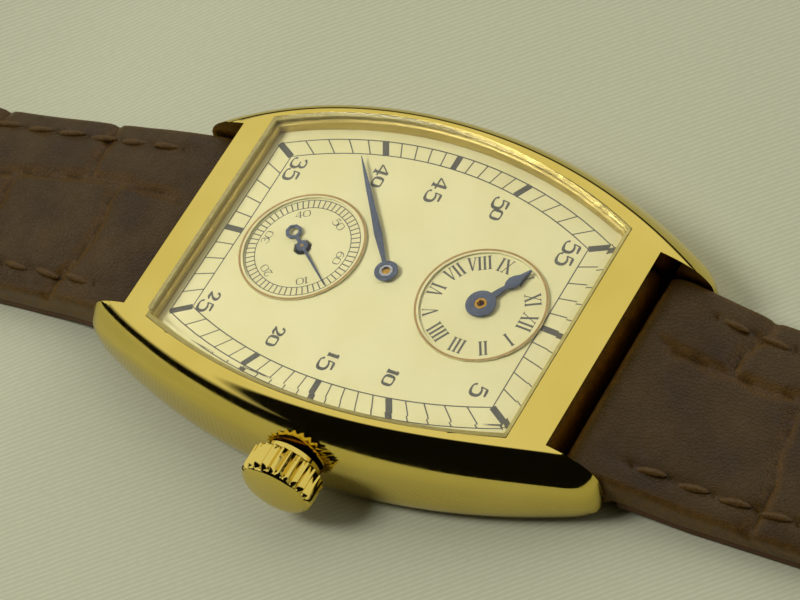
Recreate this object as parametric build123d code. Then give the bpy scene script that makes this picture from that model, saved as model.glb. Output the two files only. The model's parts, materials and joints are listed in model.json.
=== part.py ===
from build123d import *
from math import asin, atan2, cos, degrees, hypot, radians, sin, sqrt
import os

# Wristwatch with a barrel-shaped case, small hour and seconds dials and a hand-wound movement.
# Millimetres. +X runs to 3 o'clock and the crown, +Y to 12 o'clock, +Z out of the dial.
# The origin is on the case back's flat face, under the minute hand's axis.

# Opening of the bezel: every ring under the crystal follows this outline
opening_half_width = 11.67
opening_half_length = 14.1
opening_half_end = 8.93

# Case middle: widths and heights at the middle and at the lug tips
case_height = 7.74
case_foot = 0.2
bezel_width = 1.43
bezel_drop = 0.89
shoulder_width = 0.5
shoulder_height = 0.9
side_bulge = 0.35
foot_inset = 0.65
tip_half_width = 8.95
tip_height = 4.75
tip_bezel_drop = 0.3
opening_sag = 1.04
lug_reach = 20.4
lug_nose = 1.3
lug_toe = 1.1
lug_flats = 5
flank_shares = (0.3, 0.65)
shoulder_bulge_share = 0.29
section_shares = (-1, -0.84, -0.68, -0.48, -0.25, 0, 0.25, 0.48, 0.68, 0.84, 1)

# Strap seat between the lugs, and the spring bars
strap_width = 16.0
strap_side_gap = 0.2
notch_wall = 2.4
strap_roll_radius = 1.7
roll_gap = 0.32
bar_height = 2.45
bar_radius = 0.75
bar_tip_radius = 0.4
bar_tip_length = 0.7
bar_tip_gap = 0.05
bar_bore_gap = 0.1
bar_end_gap = 0.1

# Strap halves, keepers and pin buckle
strap_tail_width = 14.0
short_strap_length = 70.0
long_strap_length = 108.0
short_tail_start = 38.0
long_tail_start = 60.0
strap_thin = 2.3
strap_pad_share = 0.7
short_strap_dome = 0.25
long_strap_dome = 0.5
strap_flat_share = 0.5
strap_landing = 7.0
strap_tail_lift = 0.95
lining_thickness = 0.8
strap_tip_length = 11.0
tip_bulge_share = 0.36
tip_rise_share = 0.42
strap_holes = 7
first_hole = 26.0
hole_pitch = 6.5
hole_radius = 0.8
keeper_width = 4.0
keeper_wall = 0.8
keeper_corner_share = 0.8
keeper_room = 0.4
keeper_side_gap = 0.3
fixed_keeper_reach = 7.5
free_keeper_reach = 14.0
buckle_bar_radius = 0.5
buckle_tip_radius = 0.3
buckle_tip_length = 0.8
buckle_side_gap = 0.25
buckle_arm = 1.6
buckle_reach = 10.5
buckle_front = 2.0
buckle_ear = 1.3
buckle_corner = 3.0
buckle_thickness = 1.7
tongue_width = 2.0
tongue_gap = 0.06
tongue_wall = 0.5
tongue_overhang = 0.4
tongue_slot_length = 3.0
floor_gap = 0.03

# Crystal, its gasket and the inner flange
crystal_thickness = 1.05
crystal_stand = 0.76
crystal_bevel = 0.25
gasket_thickness = 0.22
gasket_stand = 0.06
fit_gap = 0.03
flange_thickness = 0.48

# Dial, with two small dials at 12 and 6
dial_depth = 1.24
dial_thickness = 0.4
dial_sag = 0.81
hour_offset = 7.28
seconds_offset = 6.76
subdial_radius = 4.38
rim_width = 0.3
rim_height = 0.12
rim_seat = 0.002
dial_hole_gap = 0.2

# Hands
hand_thickness = 0.12
minute_hand_length = 10.3
minute_hand_width = 0.86
minute_hand_lift = 0.2
hour_hand_length = 4.07
hour_hand_width = 0.8
seconds_hand_length = 3.82
seconds_hand_tail = 2.03
seconds_hand_width = 0.24
small_hand_lift = 0.14
minute_hub_radius = 0.82
hour_hub_radius = 1.05
seconds_hub_radius = 0.45
seconds_eye_radius = 0.6
hour_bead_radius = 0.3
leaf_stem_share = 0.25
minute_belly_share = 0.42
hour_belly_share = 0.3
pointer_tip_share = 0.33
minute_hand_angle = 230.9
hour_hand_angle = 298.5
seconds_hand_angle = 36.5

# Case back with four corner screws
back_thickness = 0.8
back_lap = 1.2
back_gap = 0.04
plug_height = 0.2
back_gasket_width = 0.5
screw_head_radius = 0.6
screw_head_height = 0.35
screw_radius = 0.3
screw_depth = 1.6
screw_corner_offset = 0.5
screw_gap = 0.04
slot_width = 0.2
slot_depth = 0.15

# Crown, its tube and the winding stem
stem_height = 3.95
crown_radius = 2.75
crown_length = 2.95
crown_case_gap = 0.2
crown_groove_depth = 0.3
crown_groove_width = 0.22
crown_rear_band = 0.55
crown_flutes = 24
crown_flute_depth = 0.22
crown_dome = 0.4
crown_dome_share = 0.72
crown_cap_share = 0.3
tube_radius = 1.2
tube_bore = 0.6
tube_stand = 1.4
tube_seat = 1.9
crown_bore_gap = 0.25
crown_bore_depth = 1.7
seal_length = 0.35
running_gap = 0.07
stem_radius = 0.45
stem_square = 0.55
stem_pivot_radius = 0.25
stem_pivot_length = 1.2

# Movement: its radius and the heights of its layers
movement_radius = 11.15
plate_foot = 3.2
plate_thickness = 1.8
bridge_foot = 1.45
bridge_thickness = 0.4
layer_gap = 0.1
ring_shoulder = 0.35
pillar_radius = 0.8
pillar_inset = 1.3
jewel_radius = 0.4
jewel_thickness = 0.2
pivot_radius = 0.12
pivot_gap = 0.02
wheel_thickness = 0.15
pinion_thickness = 0.35
arbor_radius = 0.3
arbor_gap = 0.05
pipe_wall = 0.17
overrun = 0.5

# Wheels, springs and cocks of the movement
spacer_wall = 0.4
bridge_split = -1.1
bridge_gap = 0.15
screw_shank_radius = 0.25
screw_bite = 1.0
bridge_screw_head = 0.5
bridge_head_height = 0.2
pallet_screw_head = 0.38
barrel_pillar_angles = (100, 172, -8)
train_pillar_angles = (-157, -105)
cock_pillar_angle = -54
cock_end_radius = 1.2
pallet_foot_radius = 0.55
pallet_foot_reach = 1.5
pallet_foot_turn = -55
pallet_cock_low = 2.5
pallet_cock_thickness = 0.12
seconds_arbor_radius = 0.2
third_arbor_radius = 0.22
escape_arbor_radius = 0.16
centre_pivot_radius = 0.2
post_radius = 0.22
hour_pipe_stand = 0.6
barrel_pivot_radius = 0.5
barrel_pivot_length = 0.6
barrel_core_radius = 1.0
barrel_rim = 0.2
barrel_wall = 0.15
barrel_floor = 0.1
mainspring_thickness = 0.12
mainspring_turns = 3
spring_side_gap = 0.04
spring_steps = 10
wheel_rim = 0.35
wheel_hub = 0.5
window_side_share = 0.9
ratchet_low = 1.15
ratchet_thickness = 0.25
crown_pipe_radius = 0.5
crown_disc_thickness = 0.12
crown_tooth_length = 0.6
crown_tooth_height = 0.3
crown_tooth_share = 0.6
winding_pinion_length = 0.6
sliding_pinion_length = 1.7
sliding_radius = 0.78
sliding_groove = 0.4
sliding_groove_depth = 0.2
click_reach = 4.35
click_angle = 150
click_spread = 24
click_gap = 0.04
click_half_width = 0.22
escape_radius = 1.9
escape_root_share = 0.76
escape_club_share = 0.2
escape_gap_share = 0.45
pallet_share = 0.43
pallet_span = 72
lever_half_width = 0.13
lever_hub_share = 1.4
lever_gap = 0.65
balance_reach = 7.52
balance_radius = 2.9
balance_rim = 0.35
balance_low = 2.12
balance_thickness = 0.3
staff_radius = 0.2
roller_radius = 0.6
hairspring_radius = 1.9
hairspring_turns = 3
hairspring_thickness = 0.06

# Tooth counts and the height of a tooth over and under its pitch line
barrel_teeth = 56
centre_pinion_teeth = 10
centre_teeth = 48
third_pinion_teeth = 6
third_teeth = 45
fourth_pinion_teeth = 6
fourth_teeth = 60
escape_pinion_teeth = 6
escape_teeth = 15
cannon_teeth = 10
minute_teeth = 30
minute_pinion_teeth = 8
hour_teeth = 32
ratchet_teeth = 40
crown_wheel_teeth = 20
crown_pinion_teeth = 18
winding_pinion_teeth = 12
train_spread_share = 1.165
motion_spread_share = 1.044
fourth_module = 0.09
winding_module = 0.172
addendum_share = 0.75
dedendum_share = 1.1

# Radii up to which a round that nothing turns on has few flat sides, and chords of a hidden outline
tiny_round = 0.26
fine_round = 0.82
middle_round = 1.95
wide_round = 4.0
broad_round = 12.5
side_chords = 8

# Directions in the movement, in degrees counted from 3 o'clock
barrel_angle = 45
balance_angle = -33
escape_angle = -20


# Small helpers shared by all pieces

on_its_edge = (Align.CENTER, Align.MIN)
round_sides = ((tiny_round, 6), (fine_round, 8), (middle_round, 12), (wide_round, 24), (broad_round, 28))


def mix(middle, end, share):
    return middle + (end - middle) * share


def polar(radius, angle, at=(0, 0)):
    return (at[0] + radius * cos(radians(angle)), at[1] + radius * sin(radians(angle)))


def distance(a, b):
    return hypot(b[0] - a[0], b[1] - a[1])


def direction(a, b):
    return degrees(atan2(b[1] - a[1], b[0] - a[0]))


def round_face(radius, turning):
    """A circle for what turns in or on it, and elsewhere as many flat sides as its size needs."""
    if turning:
        return Circle(radius)
    for limit, sides in round_sides:
        if radius < limit:
            return RegularPolygon(radius, sides)
    return Circle(radius)


def disc(radius, low, high, at=(0, 0), turning=False):
    """Upright round solid from one height to another."""
    return Pos(at[0], at[1], low) * extrude(round_face(radius, turning), high - low)


def ring(outer, inner, low, high, at=(0, 0)):
    return disc(outer, low, high, at) - disc(inner, low - overrun, high + overrun, at)


def rod(radius, start, end, y=0, z=0, turning=False):
    """Round solid along X from one x to another."""
    return Pos(start, y, z) * Rot(0, 90, 0) * extrude(round_face(radius, turning), end - start)


def block(x_range, y_range, z_range):
    size = [limit[1] - limit[0] for limit in (x_range, y_range, z_range)]
    return Pos(x_range[0], y_range[0], z_range[0]) * Box(*size, align=(Align.MIN, Align.MIN, Align.MIN))


def prism(face, low, high):
    """Upright solid on a face that is drawn at height zero."""
    return Pos(0, 0, low) * extrude(face, high - low)


def tonneau(inset=0.0, hidden=False):
    """Outline of the bezel opening, drawn in or out all round; out of sight its sides are chords."""
    wide = opening_half_width - inset
    long = opening_half_length - inset
    end = opening_half_end - inset
    right = ThreePointArc((end, -long), (wide, 0), (end, long))
    left = ThreePointArc((-end, long), (-wide, 0), (-end, -long))
    if hidden:
        stops = [index / side_chords for index in range(side_chords + 1)]
        right = Polyline([right @ stop for stop in stops])
        left = Polyline([left @ stop for stop in stops])
    edges = [right, Line((end, long), (-end, long)), left, Line((-end, -long), (end, -long))]
    return make_face(edges)


def bent_slab(top, bottom, top_sag, bottom_sag):
    """Wide slab bent along Y; each sag is the fall at the ends of the opening."""
    reach = opening_half_length + bezel_width
    growth = (reach / opening_half_length) ** 2
    top_end = top - top_sag * growth
    bottom_end = bottom - bottom_sag * growth
    upper = ThreePointArc((-reach, top_end), (0, top), (reach, top_end))
    lower = ThreePointArc((reach, bottom_end), (0, bottom), (-reach, bottom_end))
    sides = [Line((reach, top_end), (reach, bottom_end)), Line((-reach, bottom_end), (-reach, top_end))]
    face = make_face([upper, sides[0], lower, sides[1]])
    half = opening_half_width + bezel_width
    return Pos(-half, 0, 0) * (Plane.YZ * extrude(face, 2 * half))


def faceted(rings):
    """Solid of flat faces through rings with as many corners each, closed by the end rings."""
    faces = [Face(Wire.make_polygon(ring)) for ring in (rings[0], rings[-1])]
    for ring, after in zip(rings, rings[1:]):
        for index in range(len(ring)):
            faces.append(Face(Wire.make_polygon((ring[index - 1], ring[index], after[index]))))
            faces.append(Face(Wire.make_polygon((ring[index - 1], after[index], after[index - 1]))))
    return Solid(Shell(faces))


def first_solid(shape):
    """The largest solid of a result."""
    return sorted(shape.solids(), key=lambda solid: solid.volume)[-1]


def group(shapes):
    return Compound(children=list(shapes))


# Places that several pieces share
case_half_width = opening_half_width + bezel_width + shoulder_width + side_bulge
notch_y = opening_half_length + notch_wall
bar_y = notch_y + strap_roll_radius + roll_gap
notch_half_width = strap_width / 2 + strap_side_gap
crystal_top = case_height + crystal_stand
seat_height = crystal_top - crystal_thickness
dial_top = case_height - dial_depth
dial_foot = dial_top - dial_thickness
plate_top = plate_foot + plate_thickness
bridge_top = bridge_foot + bridge_thickness
plug_top = back_thickness + plug_height
subdial_dip = dial_sag * (hour_offset / opening_half_length) ** 2
hour_axis = (0, hour_offset)
seconds_axis = (0, -seconds_offset)
small_hand_foot = dial_top - subdial_dip + small_hand_lift
minute_hand_foot = dial_top + minute_hand_lift


# Case middle

def roof(y):
    """Height of the bezel's inner edge, flat over the dial and falling along the lugs."""
    share = (y / lug_reach) ** 2
    end_share = (opening_half_length / lug_reach) ** 2
    fall = case_height - tip_height
    slope = (opening_sag - fall * end_share ** 2) / (end_share - end_share ** 2)
    return case_height - slope * share - (fall - slope) * share ** 2


def case_section(y):
    """Corners of the case's upright cross-section at one place along the watch."""
    share = (y / lug_reach) ** 2
    side = mix(case_half_width, tip_half_width, share)
    shoulder = side - side_bulge
    edge = shoulder - shoulder_width
    inner = edge - bezel_width
    foot = side - foot_inset
    top = roof(y)
    edge_height = top - mix(bezel_drop, tip_bezel_drop, share)
    shoulder_foot = edge_height - shoulder_height
    turn_x = shoulder - shoulder_width * shoulder_bulge_share
    turn_height = edge_height - shoulder_height * shoulder_bulge_share
    flank = [(foot, y, case_foot)]
    for rise in flank_shares:
        reach = foot * (2 * rise - 1) * (rise - 1) + side * 4 * rise * (1 - rise)
        reach += shoulder * rise * (2 * rise - 1)
        flank.append((reach, y, mix(case_foot, shoulder_foot, rise)))
    flank += [(shoulder, y, shoulder_foot), (turn_x, y, turn_height), (edge, y, edge_height), (inner, y, top)]
    return flank + [(-x, y, z) for x, y, z in flank[::-1]]


def lug_profile():
    """Side view that rounds the ends of the lugs."""
    nose = lug_reach - lug_nose
    nose_top = roof(nose)
    high = case_height + overrun
    toe = lug_reach - lug_toe
    steps = [90 * index / lug_flats for index in range(lug_flats + 1)]
    points = [(nose, high)]
    points += [polar(lug_nose, 90 - angle, (nose, nose_top - lug_nose)) for angle in steps]
    points += [polar(lug_toe, -angle, (toe, case_foot + lug_toe)) for angle in steps]
    points += [(-y, z) for y, z in points[::-1]]
    wide = case_half_width + overrun
    face = make_face(Polyline(points, close=True))
    return Pos(-wide, 0, 0) * (Plane.YZ * extrude(face, 2 * wide))


def corner_screw_places():
    x = opening_half_end + screw_corner_offset
    y = opening_half_length + screw_corner_offset
    return [(x, y), (-x, y), (-x, -y), (x, -y)]


def case_middle():
    body = faceted([case_section(lug_reach * share) for share in section_shares])
    body = body & lug_profile()
    body -= prism(tonneau(), case_foot - overrun, case_height + overrun)
    body -= prism(tonneau(-back_lap - back_gap), case_foot - overrun, back_thickness)
    for sign in (1, -1):
        far = lug_reach + overrun
        y_range = sorted((sign * notch_y, sign * far))
        z_range = (case_foot - overrun, case_height + overrun)
        body -= block((-notch_half_width, notch_half_width), y_range, z_range)
        tip_hole = notch_half_width + bar_tip_length
        body -= rod(bar_tip_radius + bar_tip_gap, -tip_hole, tip_hole, sign * bar_y, bar_height)
    for place in corner_screw_places():
        body -= disc(screw_radius, 0, back_thickness + screw_depth, place)
    body -= rod(tube_radius, 0, case_half_width + overrun, 0, stem_height)
    return first_solid(body)


# Crystal, gasket, flange and dial

def crystal():
    inset = fit_gap + gasket_thickness + pivot_gap
    glass = prism(tonneau(inset), case_foot, crystal_top)
    glass = glass & bent_slab(crystal_top, seat_height, opening_sag, opening_sag)
    top_face = sorted(glass.faces(), key=lambda face: face.center().Z)[-1]
    return chamfer(top_face.edges(), crystal_bevel)


def bent_frame(outer_inset, inner_inset, top, bottom, top_sag, bottom_sag):
    frame = prism(tonneau(outer_inset), case_foot, crystal_top)
    frame -= prism(tonneau(inner_inset), case_foot, crystal_top)
    return first_solid(frame & bent_slab(top, bottom, top_sag, bottom_sag))


def crystal_gasket():
    inner = fit_gap + gasket_thickness
    return bent_frame(fit_gap, inner, case_height + gasket_stand, seat_height, opening_sag, opening_sag)


def inner_flange():
    return bent_frame(fit_gap, flange_thickness, seat_height, dial_top, opening_sag, dial_sag)


def dial():
    plate = prism(tonneau(fit_gap), case_foot, crystal_top)
    plate = plate & bent_slab(dial_top, dial_foot, dial_sag, dial_sag)
    hole = arbor_radius + pipe_wall + dial_hole_gap
    for at in ((0, 0), hour_axis, seconds_axis):
        plate -= disc(hole, case_foot, crystal_top, at)
    return first_solid(plate)


def subdial_rim(at):
    """Flat rim that lies along the slope of the bent dial."""
    slope = degrees(2 * dial_sag * at[1] / opening_half_length ** 2)
    rim = ring(subdial_radius + rim_width / 2, subdial_radius - rim_width / 2, 0, rim_height)
    fall = dial_sag * (at[1] / opening_half_length) ** 2
    return Pos(at[0], at[1], dial_top - fall + rim_seat) * Rot(-slope, 0, 0) * rim


# Hands, drawn pointing to 12 and then turned clockwise

def hand(face, hole, foot, angle, at):
    solid = extrude(face, hand_thickness) - disc(hole, -overrun, hand_thickness + overrun)
    return Pos(at[0], at[1], foot) * Rot(0, 0, -angle) * solid


def leaf(length, width, start, belly_share):
    """Slim leaf from a hub to a point; the belly is where it is widest."""
    belly = start + (length - start) * belly_share
    stem = width * leaf_stem_share
    points = [(stem, 0), (stem, start), (width / 2, belly), (0, length)]
    points += [(-width / 2, belly), (-stem, start), (-stem, 0)]
    return make_face(Polyline(points, close=True))


def minute_hand():
    face = leaf(minute_hand_length, minute_hand_width, minute_hub_radius, minute_belly_share)
    face += round_face(minute_hub_radius, False)
    return hand(face, centre_pipe_radius, minute_hand_foot, minute_hand_angle, (0, 0))


def hour_hand():
    bead_y = hour_hub_radius + hour_bead_radius * 2
    face = leaf(hour_hand_length, hour_hand_width, bead_y, hour_belly_share)
    face += round_face(hour_hub_radius, False)
    face += Pos(0, bead_y) * round_face(hour_bead_radius, False)
    return hand(face, hour_pipe_radius, small_hand_foot, hour_hand_angle, hour_axis)


def seconds_hand():
    eye = round_face(seconds_eye_radius, False)
    eye -= round_face(seconds_eye_radius - seconds_hand_width, False)
    eye = Pos(0, seconds_eye_radius - seconds_hand_tail) * eye
    tail = seconds_hand_tail - 2 * seconds_eye_radius + seconds_hand_width / 2
    wide = seconds_hand_width / 2
    fine = wide * pointer_tip_share
    points = [(wide, -tail), (wide, 0), (fine, seconds_hand_length)]
    points += [(-fine, seconds_hand_length), (-wide, 0), (-wide, -tail)]
    face = make_face(Polyline(points, close=True)) + round_face(seconds_hub_radius, False) + eye
    return hand(face, pivot_radius, small_hand_foot, seconds_hand_angle, seconds_axis)


# Case back, gasket and screws

def case_back():
    back = prism(tonneau(-back_lap), 0, back_thickness)
    back += prism(tonneau(fit_gap + back_gasket_width + fit_gap, True), 0, plug_top)
    for place in corner_screw_places():
        back -= disc(screw_head_radius + screw_gap, -overrun, screw_head_height, place)
        back -= disc(screw_radius + screw_gap, -overrun, back_thickness + overrun, place)
    return first_solid(back)


def back_gasket():
    frame = prism(tonneau(fit_gap, True), back_thickness, plug_top)
    return frame - prism(tonneau(fit_gap + back_gasket_width, True), case_foot, crystal_top)


def screw(at, head_radius, head_height, shank_radius, length):
    """Cheese-head screw driven upwards, its head's face at height zero."""
    return Pos(*at) * (disc(head_radius, 0, head_height) + disc(shank_radius, 0, length))


def slotted(body, head_radius, at):
    half = head_radius + overrun
    slot = block((-half, half), (-slot_width / 2, slot_width / 2), (-overrun, slot_depth))
    return body - Pos(*at) * slot


def case_back_screws():
    length = back_thickness + screw_depth
    shapes = []
    for x, y in corner_screw_places():
        body = screw((x, y, 0), screw_head_radius, screw_head_height, screw_radius, length)
        shapes.append(slotted(body, screw_head_radius, (x, y, 0)))
    return group(shapes)


# Crown group, along X at the stem's height

crown_start = case_half_width + crown_case_gap
crown_end = crown_start + crown_length
tube_end = case_half_width + tube_stand
crown_pocket_end = crown_start + crown_bore_depth
crown_bore_radius = tube_radius + crown_bore_gap


def crown_tube():
    start = case_half_width - tube_seat
    tube = rod(tube_radius, start, tube_end, 0, stem_height)
    return tube - rod(tube_bore, start - overrun, tube_end + overrun, 0, stem_height)


def fluted_band(start, end):
    """Band with pointed flutes, along X."""
    points = []
    for index in range(2 * crown_flutes):
        radius = crown_radius - crown_flute_depth * (index % 2)
        points.append(polar(radius, 180 * index / crown_flutes))
    face = make_face(Polyline(points, close=True))
    return Pos(start, 0, stem_height) * Rot(0, 90, 0) * extrude(face, end - start)


def crown_dome_cap(start):
    """Low dome of flats on the crown's outer face."""
    radius = crown_radius - crown_flute_depth
    turn = (radius * crown_dome_share, crown_dome * crown_dome_share)
    rings = []
    for reach, rise in ((radius, 0), turn, (radius * crown_cap_share, crown_dome)):
        corners = [polar(reach, 360 * index / crown_flutes) for index in range(crown_flutes)]
        rings.append([(x, y, rise) for x, y in corners])
    return Pos(start, 0, stem_height) * Rot(0, 90, 0) * faceted(rings)


def crown():
    groove = crown_start + crown_rear_band
    groove_end = groove + crown_groove_width
    band_end = crown_end - crown_dome
    body = rod(crown_radius, crown_start, groove, 0, stem_height)
    body += fluted_band(groove_end, band_end)
    body += rod(crown_radius - crown_groove_depth, crown_start, band_end, 0, stem_height)
    body += crown_dome_cap(band_end)
    body -= rod(crown_bore_radius, crown_start - overrun, crown_pocket_end, 0, stem_height)
    body -= rod(stem_radius, crown_start, band_end, 0, stem_height, True)
    return first_solid(body)


def crown_seal():
    end = crown_pocket_end - overrun
    start = end - seal_length
    seal = rod(crown_bore_radius - running_gap, start, end, 0, stem_height)
    return seal - rod(tube_radius + running_gap, start - overrun, end + overrun, 0, stem_height)


def winding_stem():
    """Pivot, square for the sliding pinion, and round shank up into the crown."""
    stem = rod(stem_pivot_radius, stem_inner_end, square_start, 0, stem_height)
    half = stem_square / 2
    stem += block((square_start, square_end), (-half, half), (stem_height - half, stem_height + half))
    stem += rod(stem_radius, square_end, crown_end - crown_dome, 0, stem_height, True)
    return first_solid(stem)


# Toothed wheels

def tooth_face(teeth, module, phase):
    """Outline of a toothed wheel; the phase is the angle of one tooth's middle."""
    pitch = 360 / teeth
    tip = module * (teeth / 2 + addendum_share)
    root = module * (teeth / 2 - dedendum_share)
    points = []
    for index in range(teeth):
        middle = phase + index * pitch
        points.append(polar(root, middle - pitch / 2))
        points.append(polar(tip, middle))
    return make_face(Polyline(points, close=True))


def gear(teeth, module, phase, low, high, at):
    return Pos(at[0], at[1], 0) * prism(tooth_face(teeth, module, phase), low, high)


def meshed_phase(teeth, phase, angle, other_teeth):
    """Phase of a wheel that meshes with another one along the line at this angle."""
    own = teeth * (angle - phase) / 360
    return angle + 180 - 360 * (0.5 - own) / other_teeth


def crossings(wheel, radius, hub, low, high, at):
    """Four windows between the spokes of a wheel."""
    spoke = hub / 2
    side = radius * window_side_share
    points = [(hub, hub), (spoke, side), (side, spoke)]
    window = prism(make_face(Polyline(points, close=True)), low - overrun, high + overrun)
    for index in range(4):
        wheel -= Pos(at[0], at[1], 0) * Rot(0, 0, 90 * index) * window
    return wheel


# Layers of the movement, from the case back up to the dial

pinion_low = bridge_top + layer_gap
mesh_low = pinion_low + pinion_thickness + layer_gap
barrel_height = mesh_low + wheel_thickness - pinion_low
centre_wheel_low = plate_foot - pinion_thickness
third_wheel_low = mesh_low + layer_gap / 2
fourth_wheel_low = pinion_low + layer_gap
escape_wheel_low = centre_wheel_low - layer_gap
cannon_low = plate_top + layer_gap / 2
minute_pinion_low = cannon_low + wheel_thickness + layer_gap / 2
hour_wheel_low = minute_pinion_low + layer_gap

# Axes of the going train
train_teeth = centre_teeth + third_pinion_teeth + third_teeth + fourth_pinion_teeth
train_module = 2 * seconds_offset * train_spread_share / train_teeth
centre_to_third = train_module * (centre_teeth + third_pinion_teeth) / 2
third_to_fourth = train_module * (third_teeth + fourth_pinion_teeth) / 2
third_y = -(centre_to_third ** 2 - third_to_fourth ** 2 + seconds_offset ** 2) / (2 * seconds_offset)
third_axis = (-sqrt(centre_to_third ** 2 - third_y ** 2), third_y)
barrel_axis = polar(train_module * (barrel_teeth + centre_pinion_teeth) / 2, barrel_angle)
fourth_to_escape = fourth_module * (fourth_teeth + escape_pinion_teeth) / 2
escape_axis = polar(fourth_to_escape, escape_angle, seconds_axis)
ratchet_to_crown = winding_module * (ratchet_teeth + crown_pinion_teeth) / 2
crown_wheel_axis = (barrel_axis[0] + sqrt(ratchet_to_crown ** 2 - barrel_axis[1] ** 2), 0)
winding_x = crown_wheel_axis[0] + winding_module * crown_wheel_teeth / 2
balance_axis = polar(balance_reach, balance_angle)
lever_angle = direction(escape_axis, balance_axis)
pallet_axis = polar(distance(escape_axis, balance_axis) * pallet_share, lever_angle, escape_axis)
pallet_cock_foot = polar(pallet_foot_reach, lever_angle + pallet_foot_turn, pallet_axis)
winding_tip_radius = winding_module * (winding_pinion_teeth / 2 + addendum_share)
click_axis = polar(click_reach, click_angle, barrel_axis)

# Axes of the motion work, over the main plate
motion_teeth = cannon_teeth + minute_teeth + minute_pinion_teeth + hour_teeth
motion_module = 2 * hour_offset * motion_spread_share / motion_teeth
centre_to_minute = motion_module * (cannon_teeth + minute_teeth) / 2
minute_to_hour = motion_module * (minute_pinion_teeth + hour_teeth) / 2
minute_y = (centre_to_minute ** 2 - minute_to_hour ** 2 + hour_offset ** 2) / (2 * hour_offset)
minute_axis = (sqrt(centre_to_minute ** 2 - minute_y ** 2), minute_y)

# Stem stations and screw pillars
square_end = winding_x - winding_pinion_length / 2
square_start = square_end - sliding_pinion_length
stem_inner_end = square_start - stem_pivot_length
pocket_start = square_start - layer_gap
pocket_end = winding_x + winding_pinion_length
pillar_reach = movement_radius - pillar_inset
bridge_radius = movement_radius - spacer_wall - layer_gap / 2
centre_pipe_radius = arbor_radius + pivot_gap + pipe_wall
hour_pipe_radius = post_radius + arbor_gap + pipe_wall

# Meshing of the train at rest: each wheel is turned until its teeth fit the last one's gaps
barrel_phase = meshed_phase(centre_pinion_teeth, 0, barrel_angle, barrel_teeth)
third_pinion_phase = meshed_phase(centre_teeth, 0, direction((0, 0), third_axis), third_pinion_teeth)
fourth_pinion_phase = meshed_phase(third_teeth, 0, direction(third_axis, seconds_axis), fourth_pinion_teeth)
escape_pinion_phase = meshed_phase(fourth_teeth, 0, direction(seconds_axis, escape_axis), escape_pinion_teeth)
minute_phase = meshed_phase(cannon_teeth, 0, direction((0, 0), minute_axis), minute_teeth)
hour_phase = meshed_phase(minute_pinion_teeth, 0, direction(minute_axis, hour_axis), hour_teeth)
ratchet_phase = meshed_phase(crown_pinion_teeth, 0, direction(crown_wheel_axis, barrel_axis), ratchet_teeth)


# Frame of the movement

def movement_ring():
    body = prism(tonneau(fit_gap, True), plug_top, crystal_top)
    body = body & bent_slab(dial_foot, case_foot, dial_sag, dial_sag)
    body -= disc(movement_radius + running_gap, 0, plate_top)
    body -= disc(movement_radius - ring_shoulder, 0, crystal_top)
    return first_solid(body - rod(tube_bore, 0, case_half_width, 0, stem_height))


def spacer_ring():
    return ring(movement_radius, movement_radius - spacer_wall, plug_top, plate_foot)


def main_plate():
    """Round plate with the keyless pocket, bores, jewel seats and two posts on the dial side."""
    plate = disc(movement_radius, plate_foot, plate_top)
    half = winding_tip_radius + layer_gap
    low, high = plate_foot - overrun, plate_top + overrun
    pivot_start = stem_inner_end - layer_gap
    plate -= block((pocket_start, pocket_end), (-half, half), (low, high))
    plate -= rod(stem_radius + arbor_gap, pocket_end - overrun, movement_radius + overrun, 0, stem_height)
    plate -= rod(stem_pivot_radius + arbor_gap, pivot_start, pocket_start + overrun, 0, stem_height)
    plate -= disc(arbor_radius + arbor_gap, low, high)
    plate -= disc(seconds_arbor_radius + arbor_gap, low, high, seconds_axis)
    plate -= disc(barrel_pivot_radius + arbor_gap, low, plate_foot + barrel_pivot_length, barrel_axis)
    for at in (third_axis, escape_axis, balance_axis, pallet_axis):
        plate -= disc(jewel_radius, low, plate_foot + jewel_thickness, at)
    for at, _ in pillar_screws():
        plate -= disc(screw_shank_radius, low, plate_foot + screw_bite, at)
    post_top = hour_wheel_low + wheel_thickness + hour_pipe_stand
    plate += disc(post_radius, plate_top, post_top, hour_axis, True)
    plate += disc(post_radius, plate_top, minute_pinion_low + pinion_thickness, minute_axis, True)
    return first_solid(plate)


def pillar_screws():
    """Place and head height of every screw that holds a bridge or a cock."""
    places = [(polar(pillar_reach, angle), bridge_foot) for angle in barrel_pillar_angles]
    places += [(polar(pillar_reach, angle), bridge_foot) for angle in train_pillar_angles]
    places.append((polar(pillar_reach, cock_pillar_angle), bridge_foot))
    places.append((pallet_cock_foot, pallet_cock_low))
    return places


def bridge_plate(outline, pillars, jewels):
    """Flat bridge on round pillars that stand on the main plate."""
    plate = prism(make_face(Polyline(outline, close=True)), bridge_foot, bridge_top)
    plate = plate & disc(bridge_radius, bridge_foot, bridge_top)
    for at in pillars:
        plate += disc(pillar_radius, bridge_foot, plate_foot, at)
    low = bridge_foot - overrun
    for at in pillars:
        plate -= disc(screw_shank_radius + screw_gap, low, plate_foot + overrun, at)
        plate -= disc(bridge_screw_head + screw_gap, low, bridge_foot + bridge_head_height, at)
    for at in jewels:
        plate -= disc(jewel_radius, bridge_top - jewel_thickness, bridge_top + overrun, at)
    return plate


def barrel_bridge():
    far = movement_radius + overrun
    outline = [(-far, bridge_split), (far, bridge_split), (far, far), (-far, far)]
    plate = bridge_plate(outline, [polar(pillar_reach, angle) for angle in barrel_pillar_angles], [])
    low, high = bridge_foot - overrun, bridge_top + overrun
    plate -= disc(centre_pivot_radius + arbor_gap, low, high)
    plate -= disc(barrel_pivot_radius + arbor_gap, low, high, barrel_axis)
    plate -= disc(crown_pipe_radius + arbor_gap, low, high, crown_wheel_axis)
    return first_solid(plate)


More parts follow.
